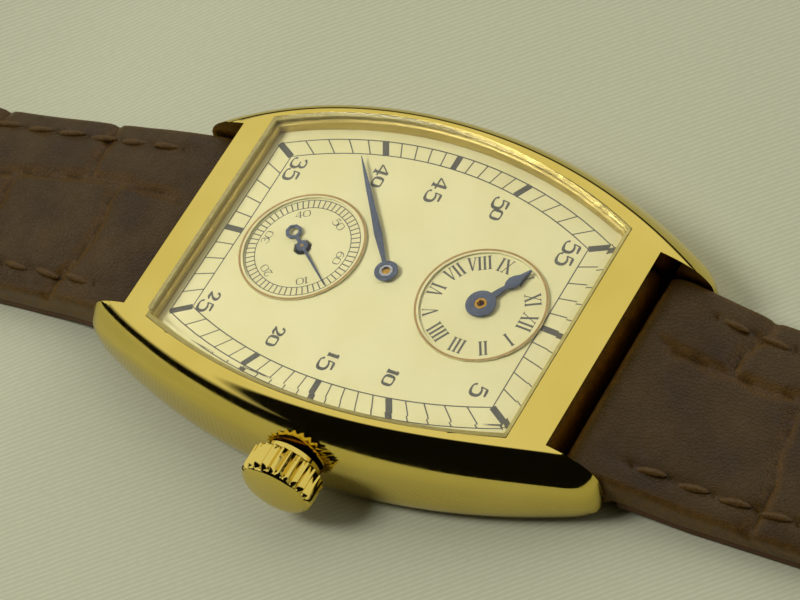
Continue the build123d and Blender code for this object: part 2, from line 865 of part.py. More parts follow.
def train_bridge():
    far = movement_radius + overrun
    edge = bridge_split - bridge_gap
    waist = (balance_axis[0] - balance_radius - bridge_gap * 2, balance_axis[1])
    nose = (escape_axis[0] + pillar_radius * 2, escape_axis[1] + pillar_radius)
    outline = [(-far, edge), (waist[0], edge), waist, nose, (nose[0], -far), (-far, -far)]
    pillars = [polar(pillar_reach, angle) for angle in train_pillar_angles]
    return first_solid(bridge_plate(outline, pillars, [third_axis, seconds_axis, escape_axis]))


def arm_face(start, end, start_half, end_half):
    """Tapered arm between two points, with round ends."""
    angle = direction(start, end)
    points = [polar(start_half, angle + 90, start), polar(start_half, angle - 90, start)]
    points += [polar(end_half, angle - 90, end), polar(end_half, angle + 90, end)]
    face = make_face(Polyline(points, close=True))
    face += Pos(*start) * round_face(start_half, False)
    return face + Pos(*end) * round_face(end_half, False)


def cock(foot, end, halves, heights, head_radius):
    """Small bridge on one foot that reaches over a pivot."""
    low, high = heights
    plate = prism(arm_face(foot, end, *halves), low, high) + disc(halves[0], low, plate_foot, foot)
    plate -= disc(screw_shank_radius + screw_gap, low - overrun, plate_foot + overrun, foot)
    return plate - disc(head_radius + screw_gap, low - overrun, low + bridge_head_height, foot)


def balance_cock():
    foot = polar(pillar_reach, cock_pillar_angle)
    halves = (pillar_radius, cock_end_radius)
    plate = cock(foot, balance_axis, halves, (bridge_foot, bridge_top), bridge_screw_head)
    plate -= disc(jewel_radius, bridge_top - jewel_thickness, bridge_top + overrun, balance_axis)
    return first_solid(plate)


def pallet_cock():
    high = pallet_cock_low + pallet_cock_thickness
    halves = (pallet_foot_radius, pallet_foot_radius)
    plate = cock(pallet_cock_foot, pallet_axis, halves, (pallet_cock_low, high), pallet_screw_head)
    plate -= disc(pivot_radius + pivot_gap, pallet_cock_low - overrun, high + overrun, pallet_axis)
    return first_solid(plate)


def bridge_screws():
    shapes = []
    for at, low in pillar_screws():
        length = plate_foot + screw_bite - low
        head = bridge_screw_head if low == bridge_foot else pallet_screw_head
        shapes.append(screw((*at, low), head, bridge_head_height, screw_shank_radius, length))
    return group(shapes)


def jewels():
    hole = pivot_radius + pivot_gap
    low = bridge_top - jewel_thickness
    high = plate_foot + jewel_thickness
    below = [third_axis, seconds_axis, escape_axis, balance_axis]
    above = [third_axis, escape_axis, balance_axis, pallet_axis]
    shapes = [ring(jewel_radius, hole, low, bridge_top, at) for at in below]
    shapes += [ring(jewel_radius, hole, plate_foot, high, at) for at in above]
    return group(shapes)


# Barrel and going train

def arbor(at, radius=arbor_radius, high=None):
    """Arbor between bridge and main plate, with a fine pivot at each end."""
    top = plate_foot - layer_gap if high is None else high
    body = disc(radius, pinion_low, top, at)
    body += disc(pivot_radius, bridge_top - jewel_thickness, pinion_low, at, True)
    return body if high else body + disc(pivot_radius, top, plate_foot + jewel_thickness, at)


def mainspring_barrel():
    """Toothed drum, hollow for the mainspring."""
    drum_radius = train_module * (barrel_teeth / 2 - dedendum_share) - barrel_rim
    low = pinion_low
    body = gear(barrel_teeth, train_module, barrel_phase, low, low + barrel_floor * 2, barrel_axis)
    body += disc(drum_radius, low, low + barrel_height, barrel_axis)
    body -= disc(drum_radius - barrel_wall, low + barrel_floor, low + barrel_height + overrun, barrel_axis)
    return first_solid(body - disc(barrel_pivot_radius + arbor_gap, 0, plate_top, barrel_axis))


def barrel_cover():
    drum_radius = train_module * (barrel_teeth / 2 - dedendum_share) - barrel_rim - barrel_wall
    high = pinion_low + barrel_height
    return ring(drum_radius, barrel_pivot_radius + arbor_gap, high - barrel_floor, high, barrel_axis)


def spiral(inner, outer, turns, steps, thickness, low, high, at):
    """Flat spiral strip of straight steps."""
    count = turns * steps
    line = []
    back = []
    for index in range(count + 1):
        radius = mix(inner, outer, index / count)
        line.append(polar(radius, 360 * index / steps, at))
        back.append(polar(radius + thickness, 360 * index / steps, at))
    return prism(make_face(Polyline(line + back[::-1], close=True)), low, high)


def mainspring():
    drum_radius = train_module * (barrel_teeth / 2 - dedendum_share) - barrel_rim - barrel_wall
    low = pinion_low + barrel_floor + spring_side_gap
    high = pinion_low + barrel_height - barrel_floor - spring_side_gap
    inner = barrel_core_radius + spring_side_gap
    outer = drum_radius - mainspring_thickness - spring_side_gap
    return spiral(inner, outer, mainspring_turns, spring_steps, mainspring_thickness, low, high, barrel_axis)


def barrel_arbor():
    low = pinion_low + barrel_floor
    high = pinion_low + barrel_height - barrel_floor
    end = plate_foot + barrel_pivot_length - layer_gap
    body = disc(barrel_core_radius, low + pivot_gap, high - pivot_gap, barrel_axis)
    body += disc(barrel_pivot_radius, low, end, barrel_axis)
    return body + disc(barrel_pivot_radius, ratchet_low, low + pivot_gap, barrel_axis, True)


def ratchet_wheel():
    high = ratchet_low + ratchet_thickness
    wheel = gear(ratchet_teeth, winding_module, ratchet_phase, ratchet_low, high, barrel_axis)
    return first_solid(wheel - disc(barrel_pivot_radius, 0, plate_foot, barrel_axis, True))


def spoked_wheel(at, teeth, module, low):
    """Wheel with four spokes and one tooth pointing to 3 o'clock."""
    wheel = gear(teeth, module, 0, low, low + wheel_thickness, at)
    radius = module * (teeth / 2 - dedendum_share) - wheel_rim
    return crossings(wheel, radius, wheel_hub, low, low + wheel_thickness, at)


def train_pinion(at, teeth, phase, low):
    return gear(teeth, train_module, phase, low, low + pinion_thickness, at)


def centre_wheel():
    body = spoked_wheel((0, 0), centre_teeth, train_module, centre_wheel_low)
    body += train_pinion((0, 0), centre_pinion_teeth, 0, pinion_low)
    body += disc(arbor_radius, pinion_low, minute_hand_foot)
    return first_solid(body + disc(centre_pivot_radius, bridge_foot, pinion_low, (0, 0), True))


def third_wheel():
    body = spoked_wheel(third_axis, third_teeth, train_module, third_wheel_low)
    low = centre_wheel_low - layer_gap
    body += train_pinion(third_axis, third_pinion_teeth, third_pinion_phase, low)
    return first_solid(body + arbor(third_axis, third_arbor_radius))


def fourth_wheel():
    body = spoked_wheel(seconds_axis, fourth_teeth, fourth_module, fourth_wheel_low)
    body += train_pinion(seconds_axis, fourth_pinion_teeth, fourth_pinion_phase, mesh_low)
    body += arbor(seconds_axis, seconds_arbor_radius, small_hand_foot)
    body += disc(pivot_radius, small_hand_foot, small_hand_foot + hand_thickness, seconds_axis)
    return first_solid(body)


def escape_wheel():
    """Wheel with fifteen leaning teeth, and its pinion."""
    points = []
    pitch = 360 / escape_teeth
    root = escape_radius * escape_root_share
    for index in range(escape_teeth):
        angle = lever_angle + pitch * (index + 1 / 2)
        points.append(polar(escape_radius, angle))
        points.append(polar(escape_radius, angle + escape_club_share * pitch))
        points.append(polar(root, angle + escape_gap_share * pitch))
        points.append(polar(root, angle + 2 * escape_gap_share * pitch))
    face = make_face(Polyline(points, close=True))
    low = escape_wheel_low
    high = low + wheel_thickness
    body = Pos(escape_axis[0], escape_axis[1], 0) * prism(face, low, high)
    body = crossings(body, root - wheel_rim / 2, wheel_hub / 2, low, high, escape_axis)
    pinion_high = pinion_low + pinion_thickness
    body += gear(escape_pinion_teeth, fourth_module, escape_pinion_phase,
                 pinion_low, pinion_high, escape_axis)
    return first_solid(body + arbor(escape_axis, escape_arbor_radius))


def pallet_fork():
    """Anchor with two stones that face the escape wheel, and the lever to the balance."""
    lever_end = polar(distance(pallet_axis, balance_axis) - lever_gap, lever_angle, pallet_axis)
    face = arm_face(pallet_axis, lever_end, lever_half_width * lever_hub_share, lever_half_width)
    for turn in (-pallet_span / 2, pallet_span / 2):
        stone = polar(escape_radius + layer_gap + lever_half_width, lever_angle + turn, escape_axis)
        face += arm_face(pallet_axis, stone, lever_half_width, lever_half_width)
    body = prism(face, escape_wheel_low, escape_wheel_low + wheel_thickness)
    body += disc(pivot_radius, escape_wheel_low, plate_foot + jewel_thickness, pallet_axis)
    body += disc(pivot_radius, pallet_cock_low, escape_wheel_low, pallet_axis, True)
    return first_solid(body)


def balance_wheel():
    """Rim, two arms, staff and roller."""
    high = balance_low + balance_thickness
    body = ring(balance_radius, balance_radius - balance_rim, balance_low, high, balance_axis)
    half = balance_rim / 2
    reach = balance_radius - half
    arms = block((-reach, reach), (-half, half), (balance_low, balance_low + balance_thickness / 2))
    body += Pos(balance_axis[0], balance_axis[1], 0) * arms
    body += arbor(balance_axis, staff_radius)
    roller_high = plate_foot - layer_gap
    return first_solid(body + disc(roller_radius, roller_high - pivot_radius, roller_high, balance_axis))


def hairspring():
    high = balance_low - layer_gap / 2
    return spiral(staff_radius, hairspring_radius, hairspring_turns, spring_steps,
                  hairspring_thickness, pinion_low, high, balance_axis)


# Motion work over the main plate

def cannon_pinion():
    body = gear(cannon_teeth, motion_module, 0, cannon_low, cannon_low + pinion_thickness, (0, 0))
    body += disc(centre_pipe_radius, cannon_low, minute_hand_foot + hand_thickness)
    return first_solid(body - disc(arbor_radius + pivot_gap, 0, crystal_top))


def minute_wheel():
    low = minute_pinion_low - layer_gap
    high = minute_pinion_low + pinion_thickness
    wheel_high = cannon_low + wheel_thickness
    body = gear(minute_teeth, motion_module, minute_phase, cannon_low, wheel_high, minute_axis)
    body += gear(minute_pinion_teeth, motion_module, 0, low, high, minute_axis)
    return first_solid(body - disc(post_radius + arbor_gap, 0, crystal_top, minute_axis))


def hour_wheel():
    high = hour_wheel_low + wheel_thickness
    body = gear(hour_teeth, motion_module, hour_phase, hour_wheel_low, high, hour_axis)
    body += disc(hour_pipe_radius, hour_wheel_low, small_hand_foot + hand_thickness, hour_axis)
    return first_solid(body - disc(post_radius + arbor_gap, 0, crystal_top, hour_axis))


# Winding work

def crown_wheel():
    """Contrate teeth under the winding pinion, and a spur pinion outside the bridge."""
    radius = winding_module * crown_wheel_teeth / 2
    tooth = crown_tooth_length / 2
    low = pinion_low + barrel_height + layer_gap / 2
    high = low + crown_disc_thickness
    body = disc(radius + tooth, low, high)
    for index in range(crown_wheel_teeth):
        half = winding_module * crown_tooth_share
        points = [(radius - tooth, 0), (radius + tooth, -half), (radius + tooth, half)]
        spur = prism(make_face(Polyline(points, close=True)), high, high + crown_tooth_height)
        body += Rot(0, 0, 360 * index / crown_wheel_teeth) * spur
    body = Pos(crown_wheel_axis[0], 0, 0) * body
    body += disc(crown_pipe_radius, ratchet_low, high, crown_wheel_axis, True)
    spur_high = ratchet_low + ratchet_thickness
    body += gear(crown_pinion_teeth, winding_module, 0, ratchet_low, spur_high, crown_wheel_axis)
    return first_solid(body)


def along_stem(face, start, end):
    return Pos(start, 0, stem_height) * Rot(0, 90, 0) * extrude(face, end - start)


def winding_pinion():
    half = winding_pinion_length / 2
    pitch = 360 / winding_pinion_teeth
    face = tooth_face(winding_pinion_teeth, winding_module, pitch / 2)
    body = along_stem(face, winding_x - half, winding_x + half)
    bore = rod(stem_radius + arbor_gap, winding_x - 2 * half, winding_x + 2 * half, 0, stem_height)
    return first_solid(body - bore)


def sliding_pinion():
    """Grooved clutch that turns with the stem's square."""
    end = winding_x - winding_pinion_length / 2 - layer_gap
    start = pocket_start + layer_gap
    middle = (start + end) / 2
    body = rod(sliding_radius, start, end, 0, stem_height)
    groove_start = middle - sliding_groove / 2
    groove_end = middle + sliding_groove / 2
    groove = rod(sliding_radius + overrun, groove_start, groove_end, 0, stem_height)
    core = sliding_radius - sliding_groove_depth
    body -= groove - rod(core, groove_start - overrun, groove_end + overrun, 0, stem_height)
    half = stem_square / 2 + arbor_gap
    body -= block((start - overrun, end + overrun), (-half, half), (stem_height - half, stem_height + half))
    return first_solid(body)


def click():
    """Pawl beside the ratchet wheel, resting just clear of its teeth."""
    tip_radius = winding_module * (ratchet_teeth / 2 + addendum_share) + click_gap
    tip = polar(tip_radius + click_half_width, click_angle - click_spread, barrel_axis)
    face = arm_face(click_axis, tip, click_half_width * 2, click_half_width)
    body = prism(face, ratchet_low, ratchet_low + ratchet_thickness)
    return body - disc(screw_shank_radius + arbor_gap, 0, plate_foot, click_axis)


def click_screw():
    low = ratchet_low - pivot_radius
    body = disc(click_half_width * 2, low, ratchet_low - pivot_gap, click_axis)
    return body + disc(screw_shank_radius, low, bridge_foot, click_axis, True)


# Strap: both halves lie outward from their spring bars, drawn along +Y

def strap_half_width(out, length):
    return mix(strap_width, strap_tail_width, out / length) / 2


def strap_thickness(out, length):
    """Padded near the case and thin along the rest."""
    padded = max(0.0, 1 - out / (length * strap_pad_share))
    return mix(strap_thin, 2 * strap_roll_radius, padded)


def strap_foot(out, tail_start, tail_lift):
    """Height of the underside: it falls from the spring bar to the table."""
    fall = (bar_height - strap_roll_radius) * max(0.0, 1 - out / strap_landing)
    rise = min(1.0, max(0.0, (out - tail_start) / strap_landing))
    return fall + tail_lift * rise


def strap_section(out, length, low, high, dome):
    """Corners of an upright section with a crowned top, at its distance from the bar."""
    half = strap_half_width(out, length)
    flat = half * strap_flat_share
    edge = high - dome
    points = [(-half, low), (half, low), (half, edge), (flat, high), (-flat, high), (-half, edge)]
    return [(x, bar_y + out, z) for x, z in points]


def strap_stations(length, tail_start):
    return [0, strap_landing, strap_landing * 2, tail_start, tail_start + strap_landing, length]


def strap_upper(length, tail_start, tail_lift, dome):
    """Padded upper leather, rolled round the spring bar."""
    sections = []
    for out in strap_stations(length, tail_start):
        low = strap_foot(out, tail_start, tail_lift) + lining_thickness
        high = strap_foot(out, tail_start, tail_lift) + strap_thickness(out, length)
        sections.append(strap_section(out, length, low, high, dome))
    body = faceted(sections)
    body += rod(strap_roll_radius, -strap_width / 2, strap_width / 2, bar_y, bar_height)
    return body - rod(bar_radius + bar_bore_gap, -strap_width, strap_width, bar_y, bar_height)


def strap_lining(length, tail_start, tail_lift):
    """Thin lining under the upper leather, from just past the roll to the end."""
    start = strap_roll_radius + roll_gap
    stations = [start] + strap_stations(length, tail_start)[1:]
    sections = []
    for out in stations:
        half = strap_half_width(out, length)
        low = strap_foot(out, tail_start, tail_lift)
        points = [(-half, low), (half, low), (half, low + lining_thickness), (-half, low + lining_thickness)]
        sections.append([(x, bar_y + out, z) for x, z in points])
    return faceted(sections)


def to_six(shape):
    """Turn a piece drawn at 12 round to the 6 o'clock side."""
    return Rot(0, 0, 180) * shape


buckle_y = bar_y + short_strap_length
buckle_z = strap_tail_lift + strap_thin / 2
buckle_half_inner = strap_tail_width / 2 + buckle_side_gap


def buckle_cut(body):
    """Room at the short strap's end for the buckle's bar and tongue."""
    half = tongue_width / 2 + buckle_side_gap
    slot = (buckle_y - tongue_slot_length, buckle_y + strap_thin)
    body -= block((-half, half), slot, (0, crystal_top))
    return body - rod(buckle_bar_radius + bar_bore_gap, -strap_width, strap_width, buckle_y, buckle_z)


def strap_12_upper():
    body = strap_upper(short_strap_length, short_tail_start, strap_tail_lift, short_strap_dome)
    half = strap_tail_width / 2
    body += rod(strap_thin / 2, -half, half, buckle_y, buckle_z)
    return first_solid(buckle_cut(body))


def strap_12_lining():
    lining = strap_lining(short_strap_length, short_tail_start, strap_tail_lift)
    y_range = (buckle_y - tongue_slot_length, buckle_y + strap_width)
    return first_solid(lining - block((-strap_width, strap_width), y_range, (-overrun, crystal_top)))


def strap_tip_cut(body):
    """Pointed end and tongue holes of the long strap."""
    end = bar_y + long_strap_length
    wide = strap_tail_width
    start = end - strap_tip_length
    edges = [Line((-wide, 0), (wide, 0))]
    for sign in (1, -1):
        shoulder = (sign * (strap_tail_width / 2 + overrun), start)
        bulge = (sign * strap_tail_width * tip_bulge_share, end - strap_tip_length * tip_rise_share)
        edges.append(ThreePointArc(shoulder, bulge, (0, end)))
        edges.append(Line(shoulder, (sign * wide, start)))
        edges.append(Line((sign * wide, start), (sign * wide, 0)))
    body = body & prism(make_face(edges), -overrun, crystal_top)
    for index in range(strap_holes):
        place = end - first_hole - index * hole_pitch
        body -= disc(hole_radius, -overrun, crystal_top, (0, place))
    return first_solid(body)


def strap_6_upper():
    return to_six(strap_tip_cut(strap_upper(long_strap_length, long_tail_start, 0, long_strap_dome)))


def strap_6_lining():
    return to_six(strap_tip_cut(strap_lining(long_strap_length, long_tail_start, 0)))


def spring_bar():
    """Sprung bar whose fine tips sit in the lugs."""
    end = notch_half_width - bar_end_gap
    tip = notch_half_width + bar_tip_length - bar_tip_gap
    body = rod(bar_radius, -end, end, bar_y, bar_height, True)
    return body + rod(bar_tip_radius, -tip, tip, bar_y, bar_height)


def keeper(centre, side_gap, foot_gap):
    """Leather loop round the strap, tall enough for both halves."""
    half = strap_half_width(centre - bar_y - keeper_width / 2, short_strap_length) + side_gap
    low = strap_tail_lift - foot_gap
    high = low + 2 * strap_thin + keeper_room
    wall = keeper_wall
    outer = Rectangle(2 * (half + wall), high - low + 2 * wall)
    outer = chamfer(outer.vertices(), wall * keeper_corner_share)
    inner = Rectangle(2 * half, high - low)
    band = extrude(outer - inner, keeper_width)
    return Pos(0, centre + keeper_width / 2, (low + high) / 2) * Rot(90, 0, 0) * band


def fixed_keeper():
    return keeper(buckle_y - fixed_keeper_reach, pivot_gap, 0)


def free_keeper():
    return keeper(buckle_y - free_keeper_reach, keeper_side_gap, running_gap)


# Pin buckle, drawn level with its bar at the origin and then let down to the table

half_frame = buckle_thickness / 2
drop = hypot(buckle_reach, half_frame)
buckle_tilt = degrees(asin((buckle_z - floor_gap) / drop) - atan2(half_frame, buckle_reach))


def seat_buckle(shape):
    return Pos(0, buckle_y, buckle_z) * Rot(-buckle_tilt, 0, 0) * shape


def buckle_frame():
    """Bow with two ears that hold the buckle's bar."""
    outer = buckle_half_inner + buckle_arm
    front = buckle_reach - buckle_front
    bow = Rectangle(2 * outer, buckle_reach + buckle_ear, align=on_its_edge)
    bow = Pos(0, -buckle_ear) * bow
    bow = fillet(bow.vertices().sort_by(Axis.Y)[-2:], buckle_corner)
    bow = fillet(bow.vertices().sort_by(Axis.Y)[:2], buckle_ear / 2)
    hollow = Rectangle(2 * buckle_half_inner, front + buckle_ear + overrun, align=on_its_edge)
    hollow = Pos(0, -buckle_ear - overrun) * hollow
    body = Pos(0, 0, -half_frame) * extrude(bow - hollow, buckle_thickness)
    tip = buckle_half_inner + buckle_tip_length
    body -= rod(buckle_tip_radius + bar_tip_gap, -tip, tip)
    return seat_buckle(first_solid(body))


def buckle_bar():
    end = buckle_half_inner - bar_end_gap
    tip = buckle_half_inner + buckle_tip_length - bar_tip_gap
    bar = rod(buckle_bar_radius, -end, end, 0, 0, True)
    return seat_buckle(bar + rod(buckle_tip_radius, -tip, tip))


def buckle_tongue():
    """Flat tongue that loops round the bar and rests on the bow."""
    eye = buckle_bar_radius + tongue_gap
    outer = eye + tongue_wall
    rest = half_frame + pivot_gap
    tip = buckle_reach + tongue_overhang
    front = buckle_reach - buckle_front - tongue_wall
    top = rest + tongue_wall
    points = [(0, eye), (front, rest), (tip, rest), (tip, top), (front, top), (0, outer)]
    side = make_face(Polyline(points, close=True)) + round_face(outer, False)
    side -= round_face(eye, False)
    return seat_buckle(Pos(-tongue_width / 2, 0, 0) * (Plane.YZ * extrude(side, tongue_width)))


# Build every piece and write it to its own file

pieces = {
    "case_middle": case_middle,
    "crystal": crystal,
    "crystal_gasket": crystal_gasket,
    "inner_flange": inner_flange,
    "dial": dial,
    "hour_dial_rim": lambda: subdial_rim(hour_axis),
    "seconds_dial_rim": lambda: subdial_rim(seconds_axis),
    "minute_hand": minute_hand,
    "hour_hand": hour_hand,
    "seconds_hand": seconds_hand,
    "case_back": case_back,
    "case_back_gasket": back_gasket,
    "case_back_screws": case_back_screws,
    "crown_tube": crown_tube,
    "crown": crown,
    "crown_seal": crown_seal,
    "winding_stem": winding_stem,
    "movement_ring": movement_ring,
    "spacer_ring": spacer_ring,
    "main_plate": main_plate,
    "barrel_bridge": barrel_bridge,
    "train_bridge": train_bridge,
    "balance_cock": balance_cock,
    "pallet_cock": pallet_cock,
    "bridge_screws": bridge_screws,
    "jewels": jewels,
    "mainspring_barrel": mainspring_barrel,
    "barrel_cover": barrel_cover,
    "mainspring": mainspring,
    "barrel_arbor": barrel_arbor,
    "ratchet_wheel": ratchet_wheel,
    "crown_wheel": crown_wheel,
    "click": click,
    "click_screw": click_screw,
    "winding_pinion": winding_pinion,
    "sliding_pinion": sliding_pinion,
    "centre_wheel": centre_wheel,
    "third_wheel": third_wheel,
    "fourth_wheel": fourth_wheel,
    "escape_wheel": escape_wheel,
    "pallet_fork": pallet_fork,
    "balance_wheel": balance_wheel,
    "hairspring": hairspring,
    "cannon_pinion": cannon_pinion,
    "minute_wheel": minute_wheel,
    "hour_wheel": hour_wheel,
    "spring_bar_12": spring_bar,
    "spring_bar_6": lambda: to_six(spring_bar()),
    "strap_12_upper": strap_12_upper,
    "strap_12_lining": strap_12_lining,
    "strap_6_upper": strap_6_upper,
    "strap_6_lining": strap_6_lining,
    "fixed_keeper": fixed_keeper,
    "free_keeper": free_keeper,
    "buckle_frame": buckle_frame,
    "buckle_bar": buckle_bar,
    "buckle_tongue": buckle_tongue,
}

os.makedirs("parts", exist_ok=True)
for name, build in pieces.items():
    export_step(build(), f"parts/{name}.step")
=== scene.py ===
import json
import math

import bpy
from mathutils import Matrix, Vector, noise


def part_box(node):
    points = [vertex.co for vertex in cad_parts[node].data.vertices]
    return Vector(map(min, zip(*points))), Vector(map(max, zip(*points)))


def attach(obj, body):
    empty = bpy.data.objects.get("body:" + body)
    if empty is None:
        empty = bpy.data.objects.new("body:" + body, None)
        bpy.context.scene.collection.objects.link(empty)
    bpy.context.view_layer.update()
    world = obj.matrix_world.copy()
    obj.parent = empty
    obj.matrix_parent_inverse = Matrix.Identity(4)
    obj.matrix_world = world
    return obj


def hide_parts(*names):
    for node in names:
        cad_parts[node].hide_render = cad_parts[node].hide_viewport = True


# Barrel-shaped wristwatch on an alligator strap. Lengths are in millimetres times mm.
mm = 0.001
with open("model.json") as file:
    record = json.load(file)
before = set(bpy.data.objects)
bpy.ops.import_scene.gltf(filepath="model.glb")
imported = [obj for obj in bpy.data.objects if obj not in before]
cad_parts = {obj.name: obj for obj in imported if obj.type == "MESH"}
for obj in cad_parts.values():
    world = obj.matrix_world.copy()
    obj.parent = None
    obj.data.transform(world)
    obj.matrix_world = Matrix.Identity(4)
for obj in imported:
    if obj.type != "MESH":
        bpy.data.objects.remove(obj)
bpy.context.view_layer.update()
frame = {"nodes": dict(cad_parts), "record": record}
nodes = frame["nodes"]
print("frame loaded:", len(nodes), "nodes")


def deselectAll():
    if bpy.context.object and bpy.context.object.mode != "OBJECT":
        bpy.ops.object.mode_set(mode="OBJECT")
    bpy.ops.object.select_all(action="DESELECT")


def pick(obj):
    deselectAll()
    obj.select_set(True)
    bpy.context.view_layer.objects.active = obj


def editAll(obj):
    pick(obj)
    bpy.ops.object.mode_set(mode="EDIT")
    bpy.ops.mesh.select_all(action="SELECT")


def faceOut():
    # ends edit mode with every face turned outward
    bpy.ops.mesh.select_all(action="SELECT")
    bpy.ops.mesh.normals_make_consistent(inside=False)
    bpy.ops.object.mode_set(mode="OBJECT")


def smoothUnder(degrees):
    bpy.ops.object.shade_smooth_by_angle(angle=math.radians(degrees))


def linear(code):
    # sRGB hex to the linear colour that nodes take
    steps = [int(code[i:i + 2], 16) / 255 for i in (1, 3, 5)]
    return [c / 12.92 if c <= 0.04045 else ((c + 0.055) / 1.055) ** 2.4 for c in steps] + [1.0]


def addNode(tree, kind, settings=None, links=None):
    # settings go to the node's inputs by name or number, or else to the node itself
    node = tree.nodes.new("ShaderNode" + kind)
    for key, value in (settings or {}).items():
        if isinstance(key, str) and hasattr(node, key):
            setattr(node, key, value)
    for key, value in (settings or {}).items():
        if not (isinstance(key, str) and hasattr(node, key)):
            node.inputs[key].default_value = value
    for key, socket in (links or {}).items():
        tree.links.new(socket, node.inputs[key])
    return node


def newMaterial(name, shader):
    # a Principled shader with its constant values, and object coordinates to draw with
    material = bpy.data.materials.new(name)
    material.use_nodes = True
    tree = material.node_tree
    tree.nodes.clear()
    surface = addNode(tree, "BsdfPrincipled", shader)
    addNode(tree, "OutputMaterial", None, {"Surface": surface.outputs[0]})
    place = addNode(tree, "TexCoord").outputs["Object"]
    return material, tree, surface, place


def noiseOf(tree, place, size, detail=2.0, stretch=(1, 1, 1)):
    # noise whose blotches are about size millimetres across, drawn out along an axis by stretch
    scaled = addNode(tree, "Mapping", {"Scale": stretch}, {"Vector": place})
    return addNode(tree, "TexNoise", {"Scale": 1 / (size * mm), "Detail": detail},
                   {"Vector": scaled.outputs[0]}).outputs["Fac"]


def spread(tree, value, low, high, start=0.3, end=0.7):
    # turns a 0 to 1 pattern into a number between low and high
    return addNode(tree, "MapRange", {"From Min": start, "From Max": end, "To Min": low, "To Max": high},
                   {"Value": value}).outputs[0]


def blendColours(tree, share, first, second):
    # first and second are hex codes or colour sockets
    node = addNode(tree, "Mix", {"data_type": "RGBA"}, {0: share})
    for index, colour in ((6, first), (7, second)):
        if isinstance(colour, str):
            node.inputs[index].default_value = linear(colour)
        else:
            tree.links.new(colour, node.inputs[index])
    return node.outputs[2]


def relief(tree, surface, height, depth):
    bump = addNode(tree, "Bump", {"Strength": 1.0, "Distance": depth * mm}, {"Height": height})
    tree.links.new(bump.outputs[0], surface.inputs["Normal"])


def finishOf(name, shader, shades, rough, fine, depth, blotch=None):
    # shades are two tones, rough the least and most roughness, fine and blotch the size in mm and detail of a noise
    material, tree, surface, place = newMaterial(name, shader)
    grain = noiseOf(tree, place, *fine)
    cloud = noiseOf(tree, place, *blotch) if blotch else grain
    tree.links.new(blendColours(tree, spread(tree, cloud, 0, 1), *shades), surface.inputs["Base Color"])
    tree.links.new(spread(tree, grain, *rough), surface.inputs["Roughness"])
    relief(tree, surface, grain, depth)
    return material


def metalFinish(name, shades, rough, grain, stretch=(1, 1, 1), depth=0.002):
    return finishOf(name, {"Metallic": 1.0}, shades, rough, (grain, 3.0, stretch), depth, (7.0,))


def paintFinish(name, shades, rough, coat=0.0, grain=0.3, depth=0.002):
    return finishOf(name, {"Coat Weight": coat, "Coat Roughness": 0.1}, shades, rough, (grain, 2.0), depth)


# Polished 18 carat yellow gold: a mirror with faint wiping marks, so edges stay crisp
polishedGold = metalFinish("polishedYellowGold", ("#E2CC6E", "#D9C25F"), (0.05, 0.10), 0.6, depth=0.0004)
# Line-brushed gold of the ring under the crystal: olive and streaky along the wall
brushedGold = metalFinish("brushedYellowGold", ("#D2C076", "#C2AF66"), (0.4, 0.6), 0.09, (0.02, 0.02, 1), 0.004)
# Gilt brass of wheels and dial rims: warmer and duller than the case
giltBrass = metalFinish("giltBrass", ("#C49A3E", "#B58A35"), (0.2, 0.34), 0.2)
# Grained nickel silver of the plates and bridges
nickelPlate = metalFinish("grainedNickelSilver", ("#BDBAB0", "#A9A79F"), (0.25, 0.42), 0.12, (1, 0.05, 1), 0.004)
# Hardened and polished steel of screws, arbors, springs and bars
polishedSteel = metalFinish("polishedSteel", ("#B9BBBE", "#A4A7AB"), (0.12, 0.24), 0.15, depth=0.001)
# Cream galvanic dial under matt lacquer: even, with the faintest cloudiness and grain
creamDial = finishOf("creamDialLacquer", {"Specular IOR Level": 0.3}, ("#D0C996", "#C9C28B"), (0.42, 0.56),
                     (0.12, 2.0), 0.004, (5.0, 3.0))
# Pad-printed ink on the dial: slate, slightly uneven in tone
slateInk = paintFinish("slatePadInk", ("#484638", "#525044"), (0.4, 0.55))
# Thin bronze-coloured line round each subdial
bronzeLine = paintFinish("bronzeLine", ("#9B7B3A", "#8C6D31"), (0.35, 0.5), 0.2)
# Slate blue lacquered steel of the hands
slateHands = paintFinish("slateBlueLacquer", ("#333C4B", "#3D4757"), (0.3, 0.42), 0.3)
# Synthetic ruby of the bearings
ruby = paintFinish("syntheticRuby", ("#A5172F", "#8E1026"), (0.05, 0.1), 1.0)
# Clear yellowed seal between crystal and bezel: dull, so it hides between glass and gold
clearSeal = paintFinish("clearSeal", ("#B5A65E", "#A89A55"), (0.4, 0.6))
# White nylon of the seals
sealNylon = paintFinish("whiteNylon", ("#D9D8CF", "#CFCEC4"), (0.4, 0.55))


def crystalFinish():
    # Thin sapphire with an anti-reflective finish: clear to its edge, it hardly bends what is under it
    material, tree, surface, place = newMaterial(
        "sapphireCrystal", {"Base Color": (1, 1, 1, 1), "Roughness": 0.0, "IOR": 1.08, "Transmission Weight": 1.0,
                             "Coat Weight": 0.35, "Coat Roughness": 0.0})
    clear = addNode(tree, "BsdfTransparent")
    path = addNode(tree, "LightPath")
    both = addNode(tree, "MixShader", None, {
        0: path.outputs["Is Shadow Ray"], 1: surface.outputs[0], 2: clear.outputs[0]})
    output = [node for node in tree.nodes if node.type == "OUTPUT_MATERIAL"][0]
    tree.links.new(both.outputs[0], output.inputs["Surface"])
    return material


crystalGlass = crystalFinish()


